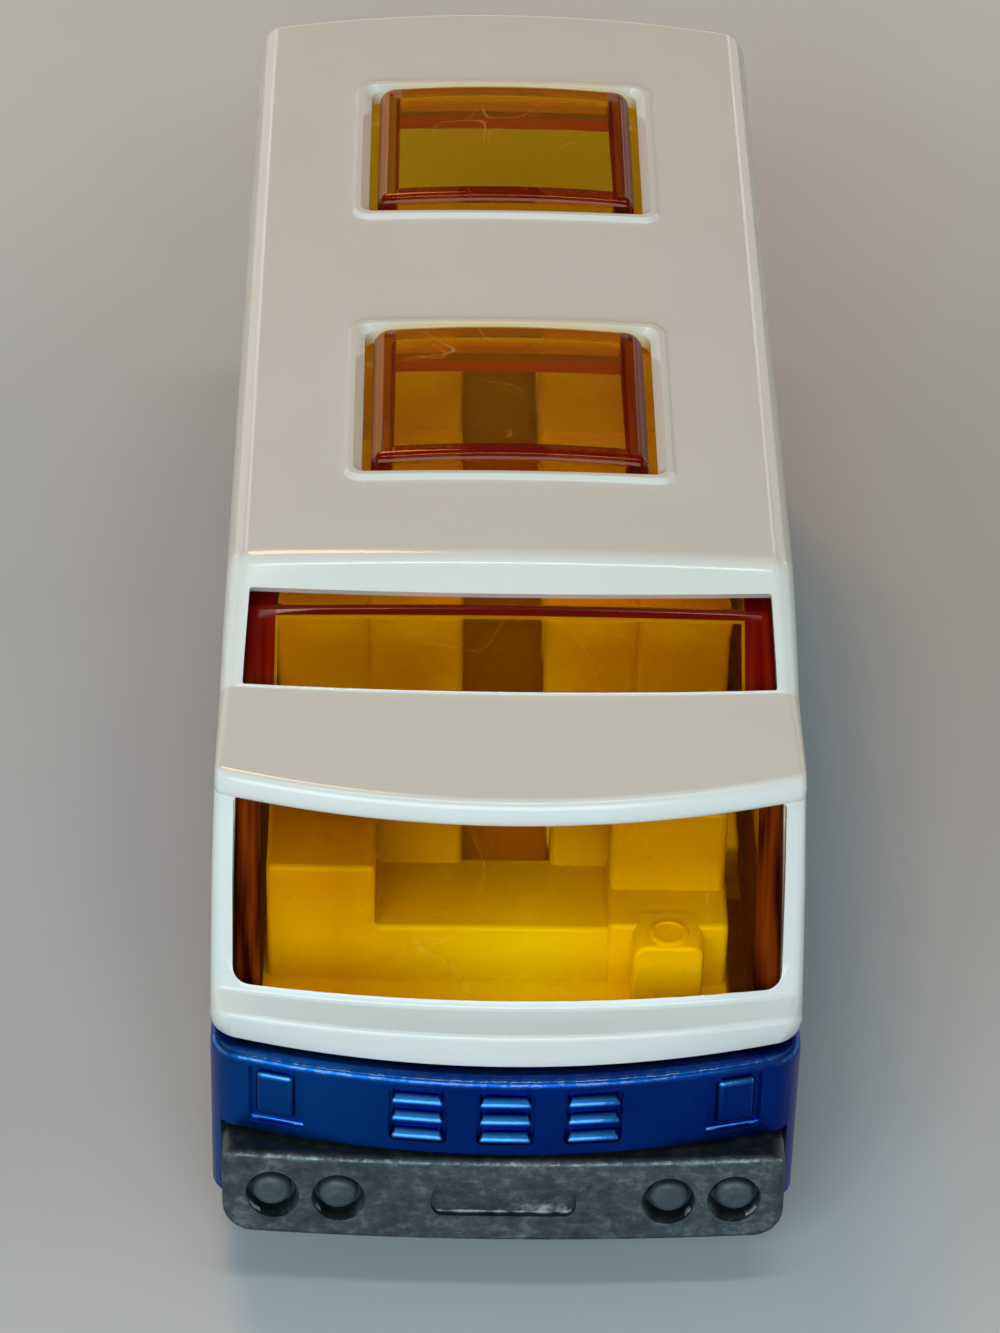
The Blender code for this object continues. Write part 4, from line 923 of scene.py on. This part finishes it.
def make_glazing():
    outside = glass_outline(GLASS_INSET, GLASS_FOOT, 0.5)
    inside = glass_outline(GLASS_INSET + GLASS_WALL, GLASS_FOOT - 1.0, 0.3, PLATE_LIFT, 0.5)
    foot, bend = outside[BEND - 1], outside[BEND]._replace(fillet=0.5)
    # Rows below the bend, where the painted red line and the painted light line end
    rows = []
    for below in reversed(BEND_ROWS):
        share = below / (bend.z - foot.z)
        values = [a + (b - a) * share for a, b in zip(bend[:4], foot[:4])]
        rows.append(Corner(*values, 0.0, 0.5))
    outside[BEND : BEND + 1] = [*rows, bend]
    glass = loaf("window_moulding", outside, GLASS_HALF)
    hollow = loaf("glass_hollow", inside, GLASS_HALF - GLASS_WALL)
    for index, y in enumerate(SKYLIGHTS):
        weld(glass, skylight_block(f"skylight_block_{index}", y, 0.0, 0.0))
        weld(hollow, skylight_block(f"block_hollow_{index}", y, GLASS_WALL, BLOCK_LID))
    carve(glass, hollow)
    soften(glass, 0.08)
    lean_in(glass)
    mark_painted_bands(glass, bend)
    finish(glass, "coach_body", AMBER, ["window_glazing"])


# Blue casting

POSTS = {"front": -31.1, "rear": 31.1}
PANELS = (-11.0, 11.0)
LOUVRES = (-4.2, 0.0, 4.2)
SLATS = 3
ROOM_HALF = 13.7  # half the width cut out for each bumper


def plan_form(name, inset, low, high, corner):
    """The coach seen from above, bowed at both ends, standing between two heights."""
    half = HALF_WIDTH - inset
    form = block(name, (-half, NOSE + inset, low), (half, TAIL - inset, high))
    edit(form)
    pick(form, "EDGE", lambda edge: runs_along(edge, ACROSS))
    bpy.ops.mesh.subdivide(number_cuts=15)
    leave()
    for vert in form.data.vertices:
        share = (vert.co.x / HALF_WIDTH) ** 2
        vert.co.y += NOSE_BOW * share if vert.co.y < 0 else -TAIL_BOW * share
    upright = lambda e: runs_along(e, UP) and abs(middle_of(e).x) > half - 0.01
    round_edges(form, upright, corner, 5)
    return form


def nose_y(x):
    return NOSE + NOSE_BOW * (x / HALF_WIDTH) ** 2


def tail_y(x):
    return TAIL - TAIL_BOW * (x / HALF_WIDTH) ** 2


def face_turn(x, bow):
    return (0, 0, math.atan(2 * bow * x / HALF_WIDTH**2))


def panel_tools(x, y, low, high, bow):
    """A square recess and the softer square that stands in its middle."""
    turn = face_turn(x, bow)
    inward = math.copysign(1, -y)
    recess = block("panel_recess", (x - 1.35, y - 0.35, low), (x + 1.35, y + 0.35, high), turn)
    round_edges(recess, goes_in, 0.15, 3)
    y += inward * 0.45
    low, high = low + 0.38, high - 0.38
    square = block("panel_square", (x - 0.97, y - 0.42, low), (x + 0.97, y + 0.42, high), turn)
    round_edges(square, lambda edge: True, 0.32, 6)
    return recess, square


def louvre_tools(x, low, high):
    """A recess and three awning-shaped slats, wider at their lower edge."""
    y = nose_y(x)
    turn = face_turn(x, NOSE_BOW)
    recess = block("louvre_recess", (x - 1.4, y - 0.5, low), (x + 1.4, y + 0.5, high), turn)
    round_edges(recess, goes_in, 0.3, 4)
    pitch = (high - low) / SLATS
    slats = []
    for row in range(SLATS):
        foot = low + row * pitch + 0.12
        top = foot + 0.48
        slat = block("slat", (x - 1.24, y - 0.06, foot), (x + 1.24, y + 0.7, top), turn)
        edit(slat)
        pick(slat, "VERT", lambda v: v.co.z > top - 0.01 and v.co.y < y + 0.3)
        bpy.ops.transform.translate(value=(0, 0.36, 0))
        slice_at(UP, [foot + 0.22])
        pick(slat, "VERT", lambda v: foot + 0.01 < v.co.z < top - 0.01 and v.co.y < y + 0.4)
        bpy.ops.transform.translate(value=(0, -0.12, 0))
        pick(slat, "VERT", lambda v: v.co.z > top - 0.01)
        bpy.ops.transform.resize(value=(0.86, 1, 1), center_override=(x, y, foot))
        leave()
        soften(slat, 0.14, 5, 30)
        slats.append(slat)
    return recess, slats


def casting_highlight_and_gloss(vert):
    """How far a point on a small face or edge of the casting looks up, where the enamel gets a painted
    highlight and more gloss.
    """
    small = all(face.calc_area() < 1.6 for face in vert.link_faces)
    return max(0.0, vert.normal.z) if small and vert.normal.z < 0.95 else 0.0


def make_casting():
    casting = plan_form("lower_casting", 0.0, SILL, BELT, CASTING_CORNER)
    round_edges(casting, lambda e: middle_of(e).z > BELT - 0.01 and bend_of(e) > 60, 0.4, 4)
    carve(casting, plan_form("casting_hollow", CASTING_WALL, SILL - 1, BELT + 1, 0.3))
    ledge = plan_form("ledge", 0.5, 12.4, 12.9, 0.6)
    carve(ledge, plan_form("ledge_hollow", 2.4, 12.0, 14.0, 0.3))
    weld(casting, ledge)
    carve(casting, block("front_room", (-ROOM_HALF, FRONT - 1, 0), (ROOM_HALF, -31.0, NOSE_EDGE)))
    carve(casting, block("rear_room", (-ROOM_HALF, 31.0, 0), (ROOM_HALF, REAR + 1, TAIL_EDGE)))
    for y in AXLES.values():
        carve(casting, drum("arch", (0, y, WHEEL_RADIUS), ARCH_RADIUS, 40, ALONG_X, 64))
    for x in PANELS:
        for y, low, bow in ((nose_y(x), NOSE_EDGE, NOSE_BOW), (tail_y(x), TAIL_EDGE, -TAIL_BOW)):
            recess, square = panel_tools(x, y, low + 0.5, BELT - 0.5, bow)
            carve(casting, recess)
            weld(casting, square)
    for x in LOUVRES:
        recess, slats = louvre_tools(x, NOSE_EDGE + 0.6, BELT - 0.6)
        carve(casting, recess)
        weld(casting, *slats)
    for name, wall in (("front", NOSE + 0.72), ("rear", TAIL - 0.72)):
        y = POSTS[name]
        low, high = sorted((y, wall))
        weld(casting, block("web", (-0.7, low, NOSE_EDGE), (0.7, high, 10.8)))
        weld(casting, drum("post", (0, y, 7.25), 1.6, 7.7, sides=32))
        weld(casting, drum("rivet_head", (0, y, 3.7), 2.6, 0.6, sides=48))
    soften(casting, 0.1, 2, 50)
    mark(casting, "lift", casting_highlight_and_gloss)
    finish(casting, "coach_body", BLUE, ["lower_body"])


# Yellow seats

TRAY_LOW = 11.4
TRAY_TOP = 12.3
SEAT_HALF = 11.7
AISLE = 2.15
CAB_WALL = -29.0  # front wall of the cab
CAB_BACK = -24.0  # the cab's own seat backs
LOCKER_SIDE = -6.35  # left side of the locker on the cab's platform
CONSOLE_TOP = 16.15
FIRST_ROW = -16.25
ROW_PITCH = 7.75
ROWS = 7


def make_seat():
    """A cushion in front of Y = 0 and a bulging backrest behind it, middle of the seat at X = 0."""
    low, half = TRAY_TOP - 0.5, (SEAT_HALF - AISLE) / 4 + 0.06
    made = rounded_block("seat", (-half, -4.4, low), (half, 1.0, TRAY_TOP + 2.0), 0.35)
    wide, foot, rise = half - 0.02, TRAY_TOP + 2.0, 4.6
    back = block("seat_back", (-wide, 0, low + 0.1), (wide, 1.4, foot + rise))
    edit(back)
    for step in range(1, 8):
        slice_at(ACROSS, [wide * (step / 4 - 1)])
        slice_at(UP, [foot + rise * step / 8])
    leave()
    for vert in back.data.vertices:
        climb = max(0.0, (vert.co.z - foot) / rise)
        if vert.co.y < 0.01:
            vert.co.y -= 2.2 * (1 - (vert.co.x / wide) ** 2) * climb * (1 - climb)
        vert.co.y += 0.7 * climb
    round_edges(back, lambda edge: bend_of(edge) > 45, 0.35, 4)
    weld(made, back)
    return made


def make_seats():
    tray = plan_form("seat_moulding", 1.3, TRAY_LOW, TRAY_TOP, 0.3)
    carve(tray, block("step_well", (11.0, -40, 10), (13.5, -21.5, 14)))
    pattern = make_seat()
    quarter = (SEAT_HALF - AISLE) / 4
    for row in range(ROWS):
        for side in (-1, 1):
            for x in (AISLE + quarter, AISLE + 3 * quarter):
                weld(tray, copy_of(pattern, "seat_copy", (side * x, FIRST_ROW + ROW_PITCH * row, 0)))
    bpy.data.objects.remove(pattern)
    low = TRAY_TOP - 0.5
    cab = block("cab", (-11.6, CAB_WALL, low), (8.0, CAB_BACK + 0.5, 15.55))
    edit(cab)
    slice_at(ACROSS, [LOCKER_SIDE])
    pick(cab, "FACE", lambda f: f.normal.z > 0.9 and f.calc_center_median().x < LOCKER_SIDE)
    pull((0, 0, 3.65))
    leave()
    soften(cab, 0.28, 3, 60)
    weld(tray, cab)
    for name, start, end, radius in (
        ("right_cab_back", (-11.5, CAB_BACK, low + 0.1), (-AISLE, CAB_BACK + 1.4, 18.9), 0.4),
        ("left_cab_back", (AISLE, CAB_BACK - 0.1, low + 0.1), (10.3, CAB_BACK + 1.4, 18.9), 0.4),
        ("driver_seat", (4.9, CAB_WALL - 0.25, low + 0.2), (10.75, CAB_BACK + 0.2, 16.0), 0.3),
        ("driver_back", (5.0, CAB_WALL + 2.5, low + 0.3), (10.65, CAB_BACK + 0.3, 20.8), 0.4),
    ):
        weld(tray, rounded_block(name, start, end, radius))
    console = block("console", (6.1, CAB_WALL - 2.1, low + 0.25), (9.5, CAB_WALL + 0.6, CONSOLE_TOP))
    round_edges(console, lambda e: runs_along(e, LENGTHWISE) and middle_of(e).z > 16.1, 0.7, 6)
    round_edges(console, lambda e: bend_of(e) > 60 and middle_of(e).y < CAB_WALL - 2.0, 0.25, 3)
    weld(tray, console)
    ring = drum("ring", (7.8, CAB_WALL - 1.0, CONSOLE_TOP), 0.95, 0.3)
    round_edges(ring, lambda e: bend_of(e) > 60, 0.1, 3)
    carve(ring, drum("ring_bowl", (7.8, CAB_WALL - 1.0, CONSOLE_TOP + 0.2), 0.72, 0.3))
    weld(tray, ring)
    for y in AXLES.values():
        weld(tray, block("spring_pad", (-2.5, y - 4.3, 8.1), (2.5, y + 4.3, TRAY_LOW + 0.4)))
    finish(tray, "coach_body", YELLOW, ["seat_interior"])


# Zinc base

BASE_LOW = 3.4
PLATE_TOP = 4.4
BUMPER_HALF = 13.6
BUMPER_LOW = 3.6
BUMPER_TOPS = {"front": 8.2, "rear": 7.0}
BUMPER_DEPTH = 3.6
BUMPER_HEIGHT = BUMPER_TOPS["front"] - BUMPER_LOW
BUMPER_LEAN = 0.7  # over the height of the front bumper
BUMPER_BOW = 0.6
LAMPS = (-11.2, -8.0, 8.0, 11.2)
LAMP_Z = 5.9
LUG_OUTER = WHEEL_MIDDLE - WHEEL_HALF - 0.25
LUG_WALL = 1.4


def bumper(name, face, inward, top):
    """A bar across the coach, its face leaning back and slightly bowed, every edge of its face rounded."""
    low_y, high_y = sorted((face, face + inward * BUMPER_DEPTH))
    bar = block(name, (-BUMPER_HALF, low_y, BUMPER_LOW), (BUMPER_HALF, high_y, top))
    edit(bar)
    pick(bar, "EDGE", lambda edge: runs_along(edge, ACROSS))
    bpy.ops.mesh.subdivide(number_cuts=13)
    leave()
    is_end = lambda edge: runs_along(edge, LENGTHWISE) and abs(middle_of(edge).x) > BUMPER_HALF - 0.01
    round_edges(bar, lambda e: is_end(e) and middle_of(e).z < BUMPER_LOW + 0.01, 1.4, 6)
    round_edges(bar, lambda e: is_end(e) and middle_of(e).z > top - 0.01, 0.8, 5)
    for vert in bar.data.vertices:
        if abs(vert.co.y - face) < 0.01:
            lean = BUMPER_LEAN * (vert.co.z - BUMPER_LOW) / BUMPER_HEIGHT
            vert.co.y += inward * (lean + BUMPER_BOW * (vert.co.x / BUMPER_HALF) ** 2)
    reach = face + inward * BUMPER_DEPTH / 2
    on_face = lambda e: all((v.co.y - reach) * inward < 0 for v in e.verts) and bend_of(e) > 40
    round_edges(bar, on_face, 0.35, 4)
    return bar


def lamp_face(x):
    return FRONT + BUMPER_LEAN / 2 + BUMPER_BOW * (x / BUMPER_HALF) ** 2


def lamp_hole(base, x):
    """A round hole square to the leaning bumper, its mouth opened a little."""
    middle = (x, lamp_face(x), LAMP_Z)
    turn = (math.radians(90) - math.atan(BUMPER_LEAN / BUMPER_HEIGHT), 0, 0)
    carve(base, drum("lamp_hole", middle, 1.2, 2.2, turn, 48))
    deselect_all()
    bpy.ops.mesh.primitive_cone_add(
        vertices=48, radius1=1.19, radius2=1.43, depth=0.44, location=middle, rotation=turn
    )
    carve(base, take("lamp_mouth"))


def make_lenses():
    """Low domes standing in the bumper's lamp holes, one modelled and the rest copied."""
    pattern = drum("lens", (0, 0, LAMP_Z), 0.95, 1.2, ALONG_Y, 48)
    round_edges(pattern, lambda e: middle_of(e).y < -0.5 and bend_of(e) > 60, 0.42, 8)
    for number, x in enumerate(LAMPS):
        lens = copy_of(pattern, f"lamp_lens_{number + 1}", (x, lamp_face(x) + 0.72, 0))
        focus(lens)
        bpy.ops.object.transform_apply()
        finish(lens, "coach_body", LENS)
    bpy.data.objects.remove(pattern)


def plate_recess(base, face, inward, z):
    y = face + inward * BUMPER_LEAN * (z - BUMPER_LOW) / BUMPER_HEIGHT
    lean = (-inward * math.atan(BUMPER_LEAN / BUMPER_HEIGHT), 0, 0)
    recess = block("plate_recess", (-3.5, y - 0.42, z - 0.8), (3.5, y + 0.42, z + 0.8), lean)
    round_edges(recess, goes_in, 0.55, 5)
    carve(base, recess)


def bumper_wear_and_highlight(vert):
    """Rubbed bright along the top of the front bumper, with painted highlights on the lower lips of its
    plate recess and lamp holes, hardly elsewhere.
    """
    x, y, z = vert.co
    on_top = z > BUMPER_TOPS["front"] - 0.5 and y < FRONT + 2.2
    sunk = y - FRONT - BUMPER_LEAN * (z - BUMPER_LOW) / BUMPER_HEIGHT - BUMPER_BOW * (x / BUMPER_HALF) ** 2
    in_lip = abs(x) < 3.6 and 4.9 < z < 5.25
    around = min(math.hypot(x - lamp, z - LAMP_Z) for lamp in LAMPS)
    if 1.1 < around < 1.45 and z < LAMP_Z - 0.5 and 0.03 < sunk < 0.35:
        return 1.0 if sunk < 0.16 else 0.4
    if in_lip and 0.015 < sunk < 0.8:
        return 0.9
    if on_top:
        return wear_of(vert) * max(0.0, 1 - abs(vert.normal.z - 0.6) / 0.6)
    return 0.3 * wear_of(vert)


def make_base():
    base = plan_form("zinc_base", 1.3, BASE_LOW, PLATE_TOP, 0.3)
    for y in AXLES.values():
        for side in (-1, 1):
            low, high = sorted((side * LUG_OUTER, side * 20))
            carve(base, block("wheel_room", (low, y - 5.8, 0), (high, y + 5.8, 10)))
            low, high = sorted((side * LUG_OUTER, side * (LUG_OUTER - LUG_WALL)))
            weld(base, rounded_block("lug", (low, y - 1.9, 3.7), (high, y + 1.9, 7.3), 0.3))
        carve(base, block("axle_slot", (-10.5, y - 0.58, 4.62), (10.5, y + 0.58, 9)))
    weld(base, bumper("front_bumper", FRONT, 1, BUMPER_TOPS["front"]))
    weld(base, bumper("rear_bumper", REAR, -1, BUMPER_TOPS["rear"]))
    for x in LAMPS:
        lamp_hole(base, x)
    plate_recess(base, FRONT, 1, 5.9)
    plate_recess(base, REAR, -1, 5.3)
    for y in POSTS.values():
        weld(base, drum("boss", (0, y, 4.6), 3.9, 1.8))
        carve(base, drum("post_hole", (0, y, 5), 1.9, 12))
        carve(base, drum("head_sink", (0, y, 2.3), 2.9, 4.0))
        for x in (-5.0, 5.0):
            weld(base, drum("pillar", (x, -0.25 + 9 * math.copysign(1, y), 7.4), 1.3, 7.4, sides=24))
    soften(base, 0.09, 2, 40)
    mark(base, "wear_and_highlight", bumper_wear_and_highlight)
    finish(base, "coach_body", ZINC, ["baseplate"])


# Axles, springs and wheels


def make_axle(name, y):
    half = [(0.0, 13.35), (0.4, 13.32), (0.7, 13.2), (0.87, 13.02)]
    half += [(0.9, 12.95), (0.88, 12.97), (0.5, 12.95)]
    profile = half + [(radius, -out) for radius, out in reversed(half)]
    axle = spun(f"{name}_axle_wire", profile, (0, y, WHEEL_RADIUS), steps=40)
    finish(axle, f"{name}_axle_set", STEEL, [f"{name}_axle"])


def make_wheel(end, side_name, side):
    name = f"{end}_{side_name}"
    middle = (side * WHEEL_MIDDLE, AXLES[end], WHEEL_RADIUS)
    tyre = [(4.05, 1.62), (4.15, 1.82), (4.4, 1.9), (4.75, 1.86), (5.05, 1.65), (5.2, 1.3)]
    for groove in (0.75, -0.75):
        tyre += [(5.2, groove + 0.16), (5.12, groove + 0.1), (5.12, groove - 0.1), (5.2, groove - 0.16)]
    tyre += [(5.2, -1.4), (5.05, -1.75), (4.7, -1.9), (3.4, -1.9), (3.4, -0.2), (1.3, -0.2), (1.3, -1.9)]
    tyre += [(0.58, -1.9), (0.58, 0.5), (3.3, 0.5), (3.45, 0.62), (3.5, 1.3), (3.75, 1.55)]
    wheel = spun(f"{name}_tyre", tyre, middle, side, closed=True)
    finish(wheel, f"{name}_roller", BLACK, [f"{name}_wheel"], smooth=35)
    hub = [(0.58, 0.52), (0.58, 1.18), (1.0, 1.2), (1.3, 1.1), (1.5, 0.8), (2.0, 0.72), (2.6, 0.78)]
    hub += [(3.0, 1.05), (3.2, 1.2), (3.38, 1.2), (3.42, 1.1), (3.38, 0.62), (3.28, 0.52)]
    disc = spun(f"{name}_hub", hub, middle, side, closed=True)
    finish(disc, f"{name}_roller", FOIL, smooth=35)


def make_spring(name, y):
    """A leaf bowed from a flat strip, its middle down on the axle and its ends up under the seat floor."""
    half, reach, low, high = 2.5, 4.0, 6.0, 6.4
    leaf = block(f"{name}_leaf", (-half, y - reach, low), (half, y + reach, high))
    edit(leaf)
    pick(leaf, "EDGE", lambda edge: runs_along(edge, LENGTHWISE))
    bpy.ops.mesh.subdivide(number_cuts=23)
    leave()
    for vert in leaf.data.vertices:
        vert.co.z += 1.4 * ((vert.co.y - y) / reach) ** 2
    soften(leaf, 0.08)
    finish(leaf, "coach_body", BLACK, [f"{name}_spring"])
    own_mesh(leaf)


make_shell()
make_glazing()
make_casting()
make_seats()
make_base()
make_lenses()
for end in AXLES:
    make_axle(end, AXLES[end])
    make_spring(end, AXLES[end])
    make_wheel(end, "left", 1)
    make_wheel(end, "right", -1)


# Floor, light and camera


def make_floor():
    """A plain pale table, with painted shade round the coach: drawn darker there than near and far."""
    material, tree, place = finish_tree("pale_table")
    mottle = add(tree, "TexNoise", {"Vector": place, "Scale": grain(30.0), "Detail": 3.0})
    tint = add(tree, "ValToRGB", {"Fac": mottle}, [(0.3, colour("d0d8e0")), (0.7, colour("d4dce4"))])
    # Painted shade: the table is drawn darker in a band round the coach
    along = add(tree, "SeparateXYZ", {"Vector": place}).outputs["Y"]
    reach = add(tree, "MapRange", {"Value": along, 1: -60 * MM, 2: 100 * MM})
    light = add(tree, "ValToRGB", {"Fac": reach}, [(0.05, 1.08), (0.22, 0.82), (0.5, 0.83), (0.9, 1.14)])
    lit = add(tree, "VectorMath", {0: tint, 1: light}, operation="MULTIPLY")
    surface = {"Base Color": lit, "Roughness": 0.6, "Specular IOR Level": 0.1}
    add(tree, "OutputMaterial", {"Surface": add(tree, "BsdfPrincipled", surface)})
    deselect_all()
    bpy.ops.mesh.primitive_plane_add(size=6.0)
    floor = take("floor")
    floor.data.materials.append(material)


def add_lamp(name, place, target, size, power, shade):
    deselect_all()
    bpy.ops.object.light_add(type="AREA", location=place)
    lamp = bpy.context.active_object
    lamp.name = name
    lamp.data.shape = "RECTANGLE"
    lamp.data.size, lamp.data.size_y = size
    lamp.data.energy = power
    lamp.data.color = colour(shade)[:3]
    lamp.rotation_euler = (Vector(target) - Vector(place)).to_track_quat("-Z", "Y").to_euler()
    return lamp


def make_light():
    world = bpy.data.worlds.new("studio")
    bpy.context.scene.world = world
    world.use_nodes = True
    background = world.node_tree.nodes["Background"]
    background.inputs["Color"].default_value = colour("b6ceb6")
    background.inputs["Strength"].default_value = 0.15
    add_lamp("window", (-0.13, -0.78, 0.40), (0, 0, 0.01), (0.9, 0.5), 6.3, "e3f8ff")
    add_lamp("sky", (0.02, -0.2, 0.75), (0, 0, 0.03), (0.5, 0.06), 0.88, "f2f4f2")
    add_lamp("ceiling", (-0.15, 0.38, 0.70), (0, 0, 0.0), (0.2, 0.2), 1.6, "ffb470")
    for place, size, power in (
        ((0, 1.0, 0.23), (2.4, 0.5), 4.1),
        ((-1.0, 0.1, 0.28), (1.8, 0.6), 3.7),
        ((1.0, 0.1, 0.28), (1.8, 0.6), 3.7),
        ((-0.385, 0.965, 0.55), (0.12, 0.22), 0.16),
        ((0.385, 0.965, 0.55), (0.12, 0.22), 0.16),
    ):
        wall = add_lamp("bright_wall", place, (0, 0, 0.03), size, power, "fff4ee")
        wall.visible_diffuse = False


def make_camera():
    data = bpy.data.cameras.new("camera")
    data.sensor_fit = "HORIZONTAL"
    data.sensor_width = 36.0
    data.lens = 174.1
    data.clip_start = 0.01
    camera = bpy.data.objects.new("camera", data)
    bpy.context.scene.collection.objects.link(camera)
    turn = (
        Matrix.Rotation(math.radians(-1.3), 4, "Z")
        @ Matrix.Rotation(math.radians(90 - 36.5), 4, "X")
        @ Matrix.Rotation(math.radians(1.5), 4, "Z")
    )
    camera.matrix_world = Matrix.Translation((-0.00475, -0.2102, 0.1654)) @ turn
    bpy.context.scene.camera = camera


make_floor()
make_light()
make_camera()
bpy.context.scene.view_settings.view_transform = "Standard"
